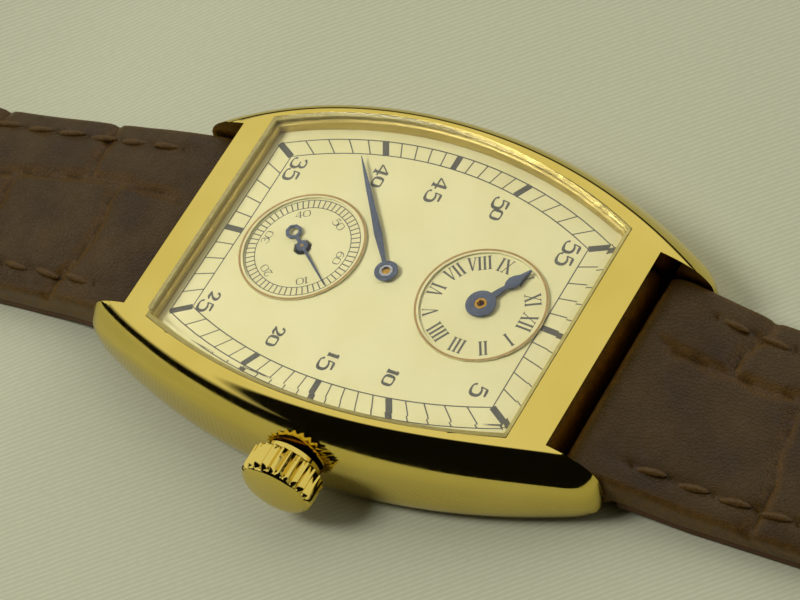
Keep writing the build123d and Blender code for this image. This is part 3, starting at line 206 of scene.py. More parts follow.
def leatherFinish(name, dark, mid, wornAndHighlit, rough, poreSize, poreDepth):
    # the wear and highlight mask is 1 in the grooves and along the edges, where the dye has rubbed off, and along the
    # top of the rolled end, where it paints a highlight
    material, tree, surface, place = newMaterial(name, {"Specular IOR Level": 0.26, "Coat Weight": 0.08,
                                                        "Coat Roughness": 0.4})
    cloud = noiseOf(tree, place, 4.0, 4.0)
    pores = addNode(tree, "TexVoronoi", {"Scale": 1 / (poreSize * mm), "feature": "DISTANCE_TO_EDGE"},
                    {"Vector": place}).outputs["Distance"]
    wrinkle = noiseOf(tree, place, 0.7, 4.0)
    wearAndHighlight = addNode(tree, "Attribute", {"attribute_name": "wearAndHighlight"}).outputs["Fac"]
    base = blendColours(tree, spread(tree, cloud, 0, 1), dark, mid)
    ragged = addNode(tree, "Math", {"operation": "MULTIPLY"},
                     {0: wearAndHighlight, 1: spread(tree, wrinkle, 0.35, 1.15)}).outputs[0]
    tree.links.new(blendColours(tree, ragged, base, wornAndHighlit), surface.inputs["Base Color"])
    tree.links.new(spread(tree, wrinkle, *rough), surface.inputs["Roughness"])
    cells = spread(tree, pores, 0, 1, 0, 0.12)
    height = addNode(tree, "Math", {"operation": "ADD"}, {0: cells, 1: wrinkle}).outputs[0]
    relief(tree, surface, height, poreDepth)
    return material


# Dyed alligator with a satin finish: dark brown scales, rubbed lighter in the creases; painted highlight on the rolled
# end
alligator = leatherFinish("brownAlligator", "#35240A", "#48340F", "#8E6428", (0.3, 0.5), 0.3, 0.02)
# Smooth calf lining, a lighter brown with small pores
calfLining = leatherFinish("calfLining", "#4A2E18", "#57391F", "#6B4A2A", (0.5, 0.65), 0.25, 0.015)
# Waxed linen thread, drawn with coarse strands so that they show
linenThread = paintFinish("waxedLinenThread", ("#3E2B0A", "#5C4112"), (0.5, 0.7), 0.0, 0.18, 0.05)
print("materials made")


# The camera stands where the photo was taken: found from the dial's minute track
cameraSpec = {"place": (118.96, 122.61, 215.96), "right": (-0.4790, 0.8495, -0.2212),
              "down": (0.7614, 0.2767, -0.5862), "lens": 182.15, "sensor": 36.0}


def addCamera(spec):
    bpy.ops.object.camera_add()
    camera = bpy.context.object
    right, up = Vector(spec["right"]).normalized(), -Vector(spec["down"]).normalized()
    back = right.cross(up).normalized()
    up = back.cross(right)
    turn = Matrix((right, up, back)).transposed().to_4x4()
    camera.matrix_world = Matrix.Translation(Vector(spec["place"]) * mm) @ turn
    camera.data.lens = spec["lens"]
    camera.data.sensor_width = spec["sensor"]
    camera.data.clip_start = 10 * mm
    bpy.context.scene.camera = camera


addCamera(cameraSpec)

# Studio: pale cloth floor under a light tent, dark behind the camera and low all round, and one soft lamp
studio = {"floorSize": 3000, "floor": "#CACBAF", "weave": "#C1C2A6", "tent": 0.86, "dark": 0.004,
          "darkAxis": (0.724, 0.219, 0.654), "darkFrom": (0.55, 0.64), "wallFrom": (0.16, 0.3), "twill": 1.2,
          "lampPlace": (180, -280, 450), "lampSize": 200, "lampPower": 1.3}
# The long strap half dips into the soft cloth: how deep, and the distances from the middle of the watch
sagSpec = {"depth": 2.7, "fallFrom": 21, "fallLength": 20, "riseFrom": 42, "riseLength": 36, "half": 12, "fade": 35}


def strapSag(y):
    # a soft bend down, then a longer one up again towards the tip
    spec = sagSpec
    if -y < spec["riseFrom"]:
        share = min(1.0, max(0.0, (-y - spec["fallFrom"]) / spec["fallLength"]))
        return -spec["depth"] * (1 - math.cos(math.pi * share)) / 2
    share = min(1.0, (-y - spec["riseFrom"]) / spec["riseLength"])
    return -spec["depth"] * (1 + math.cos(math.pi * share)) / 2


def clothSag(y, x=0.0):
    # the cloth dips with the strap and levels out to its sides
    return strapSag(y) * math.exp(-((max(0.0, abs(x) - sagSpec["half"]) / sagSpec["fade"]) ** 2))


def buildStudio(spec):
    bpy.ops.mesh.primitive_grid_add(x_subdivisions=110, y_subdivisions=240, size=2)
    floor = bpy.context.object
    floor.name = "studio_floor"
    for vertex in floor.data.vertices:
        x, y = [c * (0.06 + 0.94 * c * c) * spec["floorSize"] / 2 for c in vertex.co[:2]]  # closer near the watch
        vertex.co = Vector((x, y, clothSag(y, x) - 0.02)) * mm
    bpy.ops.object.shade_smooth()
    material, tree, surface, place = newMaterial("paleCloth", {"Roughness": 0.9, "Specular IOR Level": 0.1})
    turned = addNode(tree, "Mapping", {"Rotation": (0, 0, -0.785)}, {"Vector": place}).outputs[0]
    twill = addNode(tree, "TexWave", {"Scale": 1 / (spec["twill"] * mm), "Distortion": 0.8, "Detail": 2.0},
                    {"Vector": turned}).outputs["Fac"]
    fuzz = noiseOf(tree, place, 0.5, 3.0)
    both = addNode(tree, "Math", {"operation": "MULTIPLY"}, {0: twill, 1: fuzz}).outputs[0]
    tree.links.new(blendColours(tree, spread(tree, both, 0, 1, 0.1, 0.5), spec["weave"], spec["floor"]),
                   surface.inputs["Base Color"])
    relief(tree, surface, both, 0.02)
    floor.data.materials.append(material)
    world = bpy.data.worlds.new("studioTent")
    bpy.context.scene.world = world
    world.use_nodes = True
    tree = world.node_tree
    tree.nodes.clear()
    look = addNode(tree, "TexCoord").outputs["Generated"]
    side = addNode(tree, "VectorMath", {"operation": "DOT_PRODUCT", 1: spec["darkAxis"]}, {0: look})
    over = spread(tree, side.outputs["Value"], spec["tent"], spec["dark"], *spec["darkFrom"])
    height = addNode(tree, "SeparateXYZ", None, {"Vector": look}).outputs["Z"]
    wall = spread(tree, height, spec["dark"], spec["tent"], *spec["wallFrom"])
    level = addNode(tree, "Math", {"operation": "MINIMUM"}, {0: over, 1: wall}).outputs[0]
    light = addNode(tree, "Background", {"Color": linear("#FFFDF4")}, {"Strength": level})
    addNode(tree, "OutputWorld", None, {"Surface": light.outputs[0]})
    bpy.ops.object.light_add(type="AREA", location=Vector(spec["lampPlace"]) * mm)
    lamp = bpy.context.object
    lamp.data.shape = "DISK"
    lamp.data.size = spec["lampSize"] * mm
    lamp.data.energy = spec["lampPower"]
    lamp.rotation_euler = (-lamp.location).to_track_quat("-Z", "Y").to_euler()
    lamp.visible_glossy = False  # it lights, but isn't seen in the crystal


buildStudio(studio)
bpy.context.scene.view_settings.view_transform = "Standard"
print("camera and studio ready")


def sleeve(name, stations, ringAt, angle=50):
    # a grid wrapped into a tube through the rings of points and closed at both ends
    count = len(ringAt(stations[0]))
    bpy.ops.mesh.primitive_grid_add(x_subdivisions=count, y_subdivisions=len(stations) - 1, size=1)
    obj = bpy.context.object
    obj.name = obj.data.name = name
    order = sorted(obj.data.vertices, key=lambda v: (round(v.co.y, 6), round(v.co.x, 6)))
    wearAndHighlightValues = [0.0] * len(order)
    for row, station in enumerate(stations):
        ring = ringAt(station)
        ring.append(ring[0])
        for column, (place, wornAndHighlit) in enumerate(ring):
            vertex = order[row * (count + 1) + column]
            vertex.co = Vector(place) * mm
            wearAndHighlightValues[vertex.index] = wornAndHighlit
    layer = obj.data.attributes.new("wearAndHighlight", "FLOAT", "POINT")
    layer.data.foreach_set("value", wearAndHighlightValues)
    editAll(obj)
    bpy.ops.mesh.remove_doubles(threshold=0.0005 * mm)
    bpy.ops.mesh.select_all(action="DESELECT")
    bpy.ops.mesh.select_mode(type="EDGE")
    bpy.ops.mesh.select_non_manifold()
    bpy.ops.mesh.fill_holes(sides=0)
    faceOut()
    smoothUnder(angle)
    return obj


def cutWith(obj, cutters):
    for cutter in cutters:
        hole = obj.modifiers.new("cut", "BOOLEAN")
        hole.operation = "DIFFERENCE"
        hole.solver = "EXACT"
        hole.object = cutter
        pick(obj)
        bpy.ops.object.modifier_apply(modifier="cut")
        bpy.data.objects.remove(cutter)


def roundCutter(place, radius, depth, vertices=20, across=False):
    turn = (0, math.pi / 2, 0) if across else (0, 0, 0)
    bpy.ops.mesh.primitive_cylinder_add(vertices=vertices, radius=radius * mm, depth=depth * mm,
                                        location=Vector(place) * mm, rotation=turn)
    return bpy.context.object


def boxCutter(low, high):
    middle = [(a + b) / 2 * mm for a, b in zip(low, high)]
    bpy.ops.mesh.primitive_cube_add(size=1, location=middle, scale=[(b - a) * mm for a, b in zip(low, high)])
    return bpy.context.object


def uprightPrism(points, low, high):
    # a prism on an outline that goes round once
    bpy.ops.mesh.primitive_circle_add(vertices=len(points), radius=1, fill_type="NGON")
    obj = bpy.context.object
    for vertex, (x, y) in zip(obj.data.vertices, points):
        vertex.co = Vector((x, y, low)) * mm
    editAll(obj)
    bpy.ops.mesh.extrude_region_move(TRANSFORM_OT_translate={"value": (0, 0, (high - low) * mm)})
    faceOut()
    return obj


def roundEdges(obj, width, angle, segments=2):
    pick(obj)
    edge = obj.modifiers.new("edge", "BEVEL")
    edge.width = width * mm
    edge.segments = segments
    edge.limit_method = "ANGLE"
    edge.angle_limit = math.radians(angle)
    edge.use_clamp_overlap = True
    bpy.ops.object.modifier_apply(modifier="edge")
    smoothUnder(angle)


def smoothCopy(name, node, material, body, bevel, angle):
    # the CAD piece with its triangles merged, its sharp edges rounded and its curves shaded smooth
    obj = nodes[node].copy()
    obj.data = nodes[node].data.copy()
    bpy.context.scene.collection.objects.link(obj)
    obj.parent = None
    for key in list(obj.keys()):
        del obj[key]
    obj.name = obj.data.name = name
    editAll(obj)
    bpy.ops.mesh.customdata_custom_splitnormals_clear()
    bpy.ops.mesh.remove_doubles(threshold=0.0005 * mm)
    bpy.ops.mesh.dissolve_limited(angle_limit=math.radians(0.3))
    bpy.ops.object.mode_set(mode="OBJECT")
    if bevel:
        roundEdges(obj, bevel, angle)
    smoothUnder(angle)
    obj.data.materials.clear()
    obj.data.materials.append(material)
    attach(obj, body)
    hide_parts(node)


# Metal trim by node: name, material, body, rounded edge in mm, and the angle in degrees that counts as an edge
metalPieces = {
    "case_back": ("polishedBack", polishedGold, "case", 0.08, 32),
    "inner_flange": ("brushedFlange", brushedGold, "case", 0.03, 32),
    "crown_tube": ("crownTube", polishedSteel, "case", 0.0, 32),
    "buckle_frame": ("buckleBow", polishedGold, "buckle_group", 0.22, 32),
    "buckle_tongue": ("buckleTongue", polishedGold, "tongue_group", 0.1, 32),
    "case_back_screws": ("backScrews", polishedSteel, "case", 0.03, 40),
}
for node, (name, material, body, bevel, angle) in metalPieces.items():
    smoothCopy(name, node, material, body, bevel, angle)
print("metal pieces smoothed")


# Case middle: a smooth pillow from the crystal down, falling along the lugs to their tips
caseSpec = {"half": 13.95, "tipHalf": 8.95, "reach": 20.4, "foot": 0.2, "footInset": 0.6, "turn": 2.6, "wide": 2.28,
            "drop": 3.1, "tipDrop": 2.2, "tip": 19.95, "tipRound": 1.5, "tipTaper": 0.75, "height": 7.74,
            "tipHeight": 4.75, "sag": 1.04, "nose": 2.3, "toe": 1.9, "stations": 44, "tipStations": 8,
            "openHalf": 11.67, "openEnd": 8.93, "openReach": 14.1, "notch": 16.5, "notchHalf": 8.2, "barY": 18.52,
            "barZ": 2.45, "barHole": 0.45, "barSpan": 17.8, "backLap": 1.24, "backThick": 0.8, "stemZ": 3.95,
            "tube": 1.2, "screwOut": 0.5, "screwHole": 0.3, "screwDepth": 4.4, "round": 0.15,
            "pillow": ((1, 1), (0.974, 0.839), (0.93, 0.71), (0.855, 0.59), (0.746, 0.452), (0.636, 0.323),
                       (0.526, 0.213), (0.417, 0.123), (0.307, 0.058), (0.197, 0.019), (0.11, 0.006), (0, 0))}


def mix(first, last, share):
    return first + (last - first) * share


def barrelOutline(inset, steps=24):
    # the bezel opening, drawn in by inset: two bowed sides and two straight ends
    spec = caseSpec
    wide, end, long = spec["openHalf"] - inset, spec["openEnd"] - inset, spec["openReach"] - inset
    bow = (long ** 2 + (wide - end) ** 2) / (2 * (wide - end))
    right = []
    for i in range(steps + 1):
        y = -long + 2 * long * i / steps
        right.append((wide - bow + math.sqrt(bow ** 2 - y ** 2), y))
    return right + [(-x, y) for x, y in right[::-1]]


def caseRoof(y):
    spec = caseSpec
    share, endShare = (y / spec["reach"]) ** 2, (spec["openReach"] / spec["reach"]) ** 2
    fall = spec["height"] - spec["tipHeight"]
    slope = (spec["sag"] - fall * endShare ** 2) / (endShare - endShare ** 2)
    return spec["height"] - slope * share - (fall - slope) * share ** 2


def caseRing(y):
    # the upright cross-section, with the lug tips rounded over the nose and under the toe
    spec = caseSpec
    share = (y / spec["reach"]) ** 2
    side, top = mix(spec["half"], spec["tipHalf"], share), caseRoof(y)
    past = min(1.0, max(0.0, (abs(y) - spec["tip"] + spec["tipRound"]) / spec["tipRound"]))
    side -= spec["tipTaper"] * (1 - math.sqrt(1 - past ** 2))  # lug tips are round seen from above too
    drop = mix(spec["drop"], spec["tipDrop"], share)
    half = [(side - spec["footInset"], spec["foot"]), (side - 0.2, 1.0), (side - 0.04, 1.8), (side, spec["turn"])]
    half += [(side - spec["wide"] * (1 - out), top - drop * fall) for out, fall in spec["pillow"]]
    nose, toe = spec["tip"] - spec["nose"], spec["tip"] - spec["toe"]
    high, low = 99.0, spec["foot"]
    if abs(y) > nose:
        high = caseRoof(nose) - spec["nose"] + math.sqrt(max(0.0, spec["nose"] ** 2 - (abs(y) - nose) ** 2))
    if abs(y) > toe:
        low = spec["foot"] + spec["toe"] - math.sqrt(max(0.0, spec["toe"] ** 2 - (abs(y) - toe) ** 2))
    ring = [(x, min(max(z, low), max(high, low + 0.05))) for x, z in half]
    ring += [(-x, z) for x, z in ring[::-1]]
    return [((x, y, z), 0.0) for x, z in ring]


def buildCase():
    spec = caseSpec
    count, tipCount, tips = spec["stations"], spec["tipStations"], []
    flat = spec["tip"] - spec["nose"]
    stations = [-flat + 2 * flat * i / count for i in range(count + 1)]
    for i in range(1, tipCount + 1):
        tips.append(flat + spec["nose"] * math.sin(math.pi / 2 * i / tipCount))
    stations = [-y for y in tips[::-1]] + stations + tips
    obj = sleeve("polishedCase", stations, caseRing, 32)
    below, above, beyond = -1, 10, 22  # clear of the case all round
    cutters = [uprightPrism(barrelOutline(0), below, above),
               uprightPrism(barrelOutline(-spec["backLap"]), below, spec["backThick"])]
    for sign in (-1, 1):
        ends = sorted((sign * spec["notch"], sign * beyond))
        cutters.append(boxCutter((-spec["notchHalf"], ends[0], below), (spec["notchHalf"], ends[1], above)))
        barPlace = (0, sign * spec["barY"], spec["barZ"])
        cutters.append(roundCutter(barPlace, spec["barHole"], spec["barSpan"], 16, True))
        for side in (-1, 1):
            place = (side * (spec["openEnd"] + spec["screwOut"]), sign * (spec["openReach"] + spec["screwOut"]), 0.2)
            cutters.append(roundCutter(place, spec["screwHole"], spec["screwDepth"], 16))
    cutters.append(roundCutter((14, 0, spec["stemZ"]), spec["tube"], 6, 32, True))
    cutWith(obj, cutters)
    roundEdges(obj, spec["round"], 38, 3)
    obj.data.materials.append(polishedGold)
    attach(obj, "case")
    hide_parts("case_middle")


buildCase()
print("case built")


# Crystal: bowed along the watch like the bezel, with a fine polished edge all round
crystalSpec = {"inset": 0.29, "top": 8.5, "thick": 1.05, "sag": 1.04, "edge": 0.08, "steps": 48}


def buildCrystal():
    spec = crystalSpec
    steps = spec["steps"]
    outline = barrelOutline(spec["inset"], steps)[:steps + 1]

    def ringAt(index):
        x, y = outline[index]
        bow = caseSpec["openReach"] ** 2 / (2 * spec["sag"])
        fall = bow - math.sqrt(bow ** 2 - y ** 2)
        high, low, soft = spec["top"] - fall, spec["top"] - spec["thick"] - fall, spec["edge"]
        half = [(x - soft, low), (x, low + soft), (x, high - soft), (x - 0.3 * soft, high - 0.3 * soft),
                (x - soft, high)]
        flat = [(x - soft - 0.02, high)] + [(x * share, high) for share in (0.8, 0.6, 0.4, 0.2, 0)]
        ring = half + flat + [(-a, z) for a, z in (half + flat[:-1])[::-1]]
        ring += [(-x + soft + 0.02, low)] + [(-x * share, low) for share in (0.8, 0.6, 0.4, 0.2)] + [(0, low)]
        ring += [(x * share, low) for share in (0.2, 0.4, 0.6, 0.8)] + [(x - soft - 0.02, low)]
        return [((a, y, z), 0.0) for a, z in ring]

    obj = sleeve("clearCrystal", list(range(steps + 1)), ringAt, 30)
    obj.data.materials.append(crystalGlass)
    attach(obj, "case")
    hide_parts("crystal")


buildCrystal()
print("crystal built")


# Crown: pointed flutes in front of a plain neck and a low polished dome, bored for the tube
crownSpec = {"start": 14.15, "band": 14.6, "end": 17.05, "radius": 2.62, "flutes": 24, "depth": 0.27, "z": 3.95,
             "bore": 1.45, "boreDepth": 1.7, "steps": 10, "neck": 0.8, "cap": 0.89, "dome": 0.38}


def buildCrown():
    spec = crownSpec
    start, end, radius = spec["start"], spec["end"], spec["radius"]
    neck, cap, dome = spec["neck"], spec["cap"], spec["dome"]  # neck and cap are shares of the radius
    profile = [(start + spec["boreDepth"], spec["bore"], 0), (start, spec["bore"], 0), (start, neck * radius, 0),
               (spec["band"] - 0.08, neck * radius, 0), (spec["band"], 0.93 * radius, 0.5),
               (spec["band"] + 0.12, radius, 1), (end - 0.8, radius, 1), (end - 0.62, 0.985 * radius, 1),
               (end - 0.5, 0.95 * radius, 0.75), (end - 0.42, 0.91 * radius, 0.35), (end - dome, cap * radius, 0)]
    for i in range(1, 8):
        turn = math.pi / 2 * i / 7
        profile.append((end - dome + dome * math.sin(turn), cap * radius * max(0.004, math.cos(turn) ** 0.8), 0))

    def ringAt(index):
        x, reach, flute = profile[index]
        count, ring = spec["flutes"] * spec["steps"], []
        for i in range(count):
            turn = 2 * math.pi * i / count
            valley = abs(2 * (turn * spec["flutes"] / (2 * math.pi) % 1) - 1)
            r = reach - spec["depth"] * flute * valley
            ring.append(((x, r * math.cos(turn), spec["z"] + r * math.sin(turn)), 0.0))
        return ring

    obj = sleeve("flutedCrown", list(range(len(profile))), ringAt, 42)
    obj.data.materials.append(polishedGold)
    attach(obj, "crown_group")
    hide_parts("crown")


buildCrown()
print("crown built")


# Dial printing. Heights follow the dial, which bends along the watch.
dialSpec = {"top": 6.5, "sag": 0.81, "reach": 14.1, "hourY": 7.28, "secondsY": -6.76, "lift": 0.006,
            "fineLine": 0.09, "baton": 0.46}


def dialHeight(y):
    bow = dialSpec["reach"] ** 2 / (2 * dialSpec["sag"])
    return dialSpec["top"] - (bow - math.sqrt(bow ** 2 - y ** 2))


def printOnDial(name, strokes, material, above=0.0, flatFrom=None):
    # each stroke is (closed, smooth, [(x, y, width), ...]); tubes along them are pressed flat
    # flatFrom is the y of a flat rim's centre: the line then follows the rim, not the bent dial
    curve = bpy.data.curves.new(name, "CURVE")
    curve.dimensions = "3D"
    curve.bevel_depth = 1.0
    curve.bevel_resolution = 1
    curve.use_fill_caps = True
    for closed, smooth, points in strokes:
        spline = curve.splines.new("NURBS" if smooth else "POLY")
        spline.points.add(len(points) - 1)
        for point, (x, y, width) in zip(spline.points, points):
            point.co = (x * mm, y * mm, 0, 1)
            point.radius = width / 2 * mm
        spline.use_cyclic_u = closed
        if smooth:
            spline.order_u = 3
            spline.use_endpoint_u = not closed
            spline.resolution_u = 5
    obj = bpy.data.objects.new(name, curve)
    bpy.context.scene.collection.objects.link(obj)
    pick(obj)
    bpy.ops.object.convert(target="MESH")
    obj = bpy.context.object
    for vertex in obj.data.vertices:
        x, y, z = vertex.co
        bow = 0 if flatFrom is None else dialSpec["sag"] * ((y / mm - flatFrom) / dialSpec["reach"]) ** 2
        vertex.co.z = (dialHeight(y / mm) + dialSpec["lift"] + above + bow) * mm + z * 0.05
    smoothUnder(30)
    obj.data.materials.append(material)
    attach(obj, "case")


trackSpec = {"innerEnd": 11.74, "innerMid": 9.27, "outerEnd": 13.16, "outerMid": 10.43}


def trackPoint(angle, end, mid):
    # where a ray from the centre meets a barrel outline with straight ends and bowed sides
    dx, dy = math.sin(math.radians(angle)), math.cos(math.radians(angle))
    corner = end * math.tan(math.radians(30))
    if abs(dx) <= abs(dy) * math.tan(math.radians(30)) + 1e-9:
        return dx / abs(dy) * end, math.copysign(end, dy)
    rise = mid - corner
    bow = (end ** 2 + rise ** 2) / (2 * rise)
    centre = mid - bow
    side = math.copysign(1, dx)
    b = abs(dx) * centre
    reach = b + math.sqrt(b * b - centre ** 2 + bow ** 2)
    return side * abs(dx) * reach, dy * reach


def trackLine(end, mid, width):
    points = [trackPoint(angle, end, mid) for angle in range(0, 360, 5)]
    return [(True, False, [(x, y, width) for x, y in points])]


def minuteTrack():
    fine, track = dialSpec["fineLine"], trackSpec
    lines = trackLine(track["innerEnd"], track["innerMid"], fine)
    lines += trackLine(track["outerEnd"], track["outerMid"], fine)
    for minute in range(60):
        inner = trackPoint(minute * 6, track["innerEnd"], track["innerMid"])
        outer = trackPoint(minute * 6, track["outerEnd"], track["outerMid"])
        width = fine if minute % 5 else dialSpec["baton"]
        lines.append((False, False, [(*inner, width), (*outer, width)]))
    return lines


# Numerals in a box one high: how wide each is, then its strokes, smooth or not, as (x, y, width) points
thin, thick = 0.06, 0.16
figures = {
    "0": (0.92, [(True, [(0.46, 0, thin), (0.06, 0.02, 0.1), (0.02, 0.46, thick), (0.06, 0.9, 0.1), (0.46, 0.94, thin),
                         (0.86, 0.9, 0.1), (0.9, 0.46, thick), (0.86, 0.02, 0.1), (0.46, 0, thin)])]),
    "1": (0.5, [(False, [(0.27, 1, thick), (0.27, 0, thick)]), (False, [(0.27, 0.98, 0.08), (0.04, 0.8, thin)]),
                (False, [(0.06, 0, thin), (0.48, 0, thin)])]),
    "2": (0.86, [(True, [(0.08, 0.7, 0.12), (0.1, 0.98, 0.08), (0.5, 1.06, 0.08), (0.8, 0.84, thick), (0.62, 0.46, 0.1),
                         (0.28, 0.2, thin), (0.05, 0.04, thin)]),
                 (True, [(0.05, 0.05, thin), (0.3, 0.12, 0.13), (0.6, 0.02, 0.12), (0.84, 0.2, thin)])]),
    "3": (0.84, [(True, [(0.08, 0.82, 0.12), (0.2, 1.04, 0.06), (0.66, 1.04, 0.1), (0.74, 0.72, 0.14),
                         (0.5, 0.56, thin), (0.3, 0.56, thin)]),
                 (True, [(0.3, 0.56, thin), (0.66, 0.62, 0.08), (0.86, 0.36, thick), (0.74, 0, 0.12),
                         (0.36, -0.06, thin), (0.08, 0.04, thin), (0.08, 0.22, 0.12)])]),
    "4": (0.92, [(False, [(0.62, 1, thin), (0.02, 0.32, thin)]), (False, [(0.02, 0.31, 0.08), (0.9, 0.31, 0.08)]),
                 (False, [(0.62, 1, 0.14), (0.62, 0, 0.14)]), (False, [(0.44, 0, thin), (0.8, 0, thin)])]),
    "5": (0.86, [(False, [(0.17, 0.96, 0.06), (0.3, 0.97, 0.12), (0.74, 1, 0.09)]),
                 (False, [(0.2, 0.97, thin), (0.15, 0.52, thin)]),
                 (True, [(0.15, 0.52, thin), (0.34, 0.7, 0.08), (0.84, 0.62, 0.14), (0.88, 0.06, thick),
                         (0.4, -0.05, 0.08), (0.08, 0.02, thin), (0.06, 0.2, 0.12)])]),
    "6": (0.86, [(True, [(0.76, 0.94, thin), (0.4, 1.02, 0.08), (0.06, 0.6, thick), (0.06, 0.06, 0.14),
                         (0.45, -0.05, thin), (0.84, 0.06, 0.13), (0.84, 0.54, 0.12),
                         (0.45, 0.62, thin), (0.16, 0.44, thin)])]),
    "I": (0.3, [(False, [(0.15, 1, 0.15), (0.15, 0, 0.15)]), (False, [(0, 1, thin), (0.3, 1, thin)]),
                (False, [(0, 0, thin), (0.3, 0, thin)])]),
    "V": (0.66, [(False, [(0.08, 1, 0.15), (0.35, 0, 0.1)]), (False, [(0.35, 0, thin), (0.6, 1, thin)]),
                 (False, [(-0.04, 1, thin), (0.22, 1, thin)]), (False, [(0.5, 1, thin), (0.7, 1, thin)])]),
    "X": (0.7, [(False, [(0.1, 1, 0.15), (0.6, 0, 0.15)]), (False, [(0.6, 1, thin), (0.1, 0, thin)]),
                (False, [(-0.02, 1, thin), (0.24, 1, thin)]), (False, [(0.48, 1, thin), (0.72, 1, thin)]),
                (False, [(-0.02, 0, thin), (0.22, 0, thin)]), (False, [(0.46, 0, thin), (0.74, 0, thin)])]),
}


# Old-style figures: how tall each one is, and how far it hangs under the line
oldStyle = {"0": (0.7, 0), "1": (0.7, 0), "2": (0.7, 0), "3": (0.94, -0.26), "4": (0.94, -0.26), "5": (0.94, -0.26)}


def writeFigures(text, centre, height, angle=0.0, squeeze=1.0, style=None, bold=1.0):
    # strokes of a short text round its centre; angle turns its top clockwise from 12
    gap = 0.1
    sizes = [(style or {}).get(c, (1, 0)) for c in text]
    total = sum(figures[c][0] * size for c, (size, drop) in zip(text, sizes)) + gap * (len(text) - 1)
    middle = 0.36 if style else 0.5
    turn = math.radians(angle)
    strokes, start = [], -total / 2
    for c, (size, drop) in zip(text, sizes):
        for smooth, points in figures[c][1]:
            placed = []
            for x, y, width in points:
                u, v = (start + x * size) * height * squeeze, (y * size + drop - middle) * height
                width *= bold
                placed.append((centre[0] + u * math.cos(turn) + v * math.sin(turn),
                               centre[1] - u * math.sin(turn) + v * math.cos(turn), width * height))
            strokes.append((False, smooth, placed))
        start += figures[c][0] * size + gap
    return strokes


minutePlaces = {"5": (5.97, 10.5), "10": (7.33, 4.4), "15": (7.7, -0.05), "20": (7.15, -4.7), "25": (6.05, -10.7),
                "35": (-5.9, -10.7), "40": (-7.15, -4.5), "45": (-7.35, 0.0), "50": (-7.45, 4.7), "55": (-5.95, 10.85)}
minuteSpec = {"height": 1.14, "bold": 1.45}
rimLine = {"radius": 4.42, "width": 0.16, "steps": 96, "above": 0.122}
hourSpec = {"numerals": ["XII", "I", "II", "III", "IIII", "V", "VI", "VII", "VIII", "IX", "X", "XI"],
            "radius": 3.42, "height": 1.05, "squeeze": 0.82}
secondsSpec = {"outer": 4.05, "inner": 3.4, "line": 0.06, "tick": 0.085, "numberRadius": 2.92, "numberHeight": 0.55}


def circleStroke(centre, radius, width, steps=72):
    points = []
    for i in range(steps):
        angle = 2 * math.pi * i / steps
        points.append((centre[0] + radius * math.sin(angle), centre[1] + radius * math.cos(angle), width))
    return (True, False, points)


def onCircle(centre, radius, angle):
    turn = math.radians(angle)
    return centre[0] + radius * math.sin(turn), centre[1] + radius * math.cos(turn)


def hourPrint():
    centre, strokes = (0, dialSpec["hourY"]), []
    for hour, text in enumerate(hourSpec["numerals"]):
        place = onCircle(centre, hourSpec["radius"], hour * 30)
        strokes += writeFigures(text, place, hourSpec["height"], hour * 30, hourSpec["squeeze"])
    return strokes


def secondsPrint():
    centre, spec = (0, dialSpec["secondsY"]), secondsSpec
    strokes = [circleStroke(centre, spec["outer"], spec["line"]), circleStroke(centre, spec["inner"], spec["line"])]
    for second in range(60):
        ends = [onCircle(centre, spec[key], second * 6) for key in ("inner", "outer")]
        strokes.append((False, False, [(*end, spec["tick"]) for end in ends]))
    for number in range(10, 61, 10):
        place = onCircle(centre, spec["numberRadius"], number * 6)
        strokes += writeFigures(str(number), place, spec["numberHeight"], number * 6)
    return strokes


printOnDial("minuteTrackPrint", minuteTrack(), slateInk)
numerals = []
for text, place in minutePlaces.items():
    numerals += writeFigures(text, place, minuteSpec["height"], style=oldStyle, bold=minuteSpec["bold"])
printOnDial("minuteNumeralPrint", numerals, slateInk)
printOnDial("hourNumeralPrint", hourPrint(), slateInk)
printOnDial("secondsTrackPrint", secondsPrint(), slateInk)
for name, y in (("hourRimLines", dialSpec["hourY"]), ("secondsRimLines", dialSpec["secondsY"])):
    circle = circleStroke((0, y), rimLine["radius"], rimLine["width"], rimLine["steps"])
    printOnDial(name, [circle], bronzeLine, rimLine["above"], y)
print("dial printed")


# Hands: a bored round hub, then (distance, half width) pairs along the blade; angle is clockwise from 12
handSpec = {
    "hour_hand": {"name": "hourSpade", "body": "hour_group", "centre": (0, dialSpec["hourY"]), "angle": 298.5,
                  "hub": 1.05, "hole": 0.44, "edge": 0.02,
                  "outline": ((1.3, 0.24), (1.6, 0.21), (1.98, 0.15), (2.22, 0.35), (2.6, 0.48), (2.95, 0.4),
                              (3.3, 0.2), (4.07, 0.08))},
    "minute_hand": {"name": "minuteLeaf", "body": "minute_group", "centre": (0, 0), "angle": 230.9,
                    "hub": 0.82, "hole": 0.49, "edge": 0.02,
                    "outline": ((1.2, 0.15), (2.2, 0.22), (3.3, 0.28), (4.3, 0.24), (5.4, 0.2), (7.2, 0.18),
                                (9.0, 0.1), (10.3, 0.03))},
}


def buildHand(node, spec):
    low, high = [corner[2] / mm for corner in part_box(node)]
    neck = spec["outline"][0][1]
    start = math.asin(neck / spec["hub"])
    points, steps = [], 32
    for i in range(steps + 1):
        turn = start + (2 * math.pi - 2 * start) * i / steps
        points.append((spec["hub"] * math.sin(turn), spec["hub"] * math.cos(turn)))
    points += [(-half, along) for along, half in spec["outline"]]
    points += [(half, along) for along, half in spec["outline"][::-1]]
    obj = uprightPrism(points, low, high)
    obj.name = obj.data.name = spec["name"]
    cutWith(obj, [roundCutter((0, 0, (low + high) / 2), spec["hole"], 2, 24)])
    turn = Matrix.Rotation(-math.radians(spec["angle"]), 4, "Z")
    obj.data.transform(Matrix.Translation(Vector((*spec["centre"], 0)) * mm) @ turn)
    roundEdges(obj, spec["edge"], 50)
    obj.data.materials.append(slateHands)
    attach(obj, spec["body"])
    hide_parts(node)


for node, spec in handSpec.items():
    buildHand(node, spec)
print("hands built")


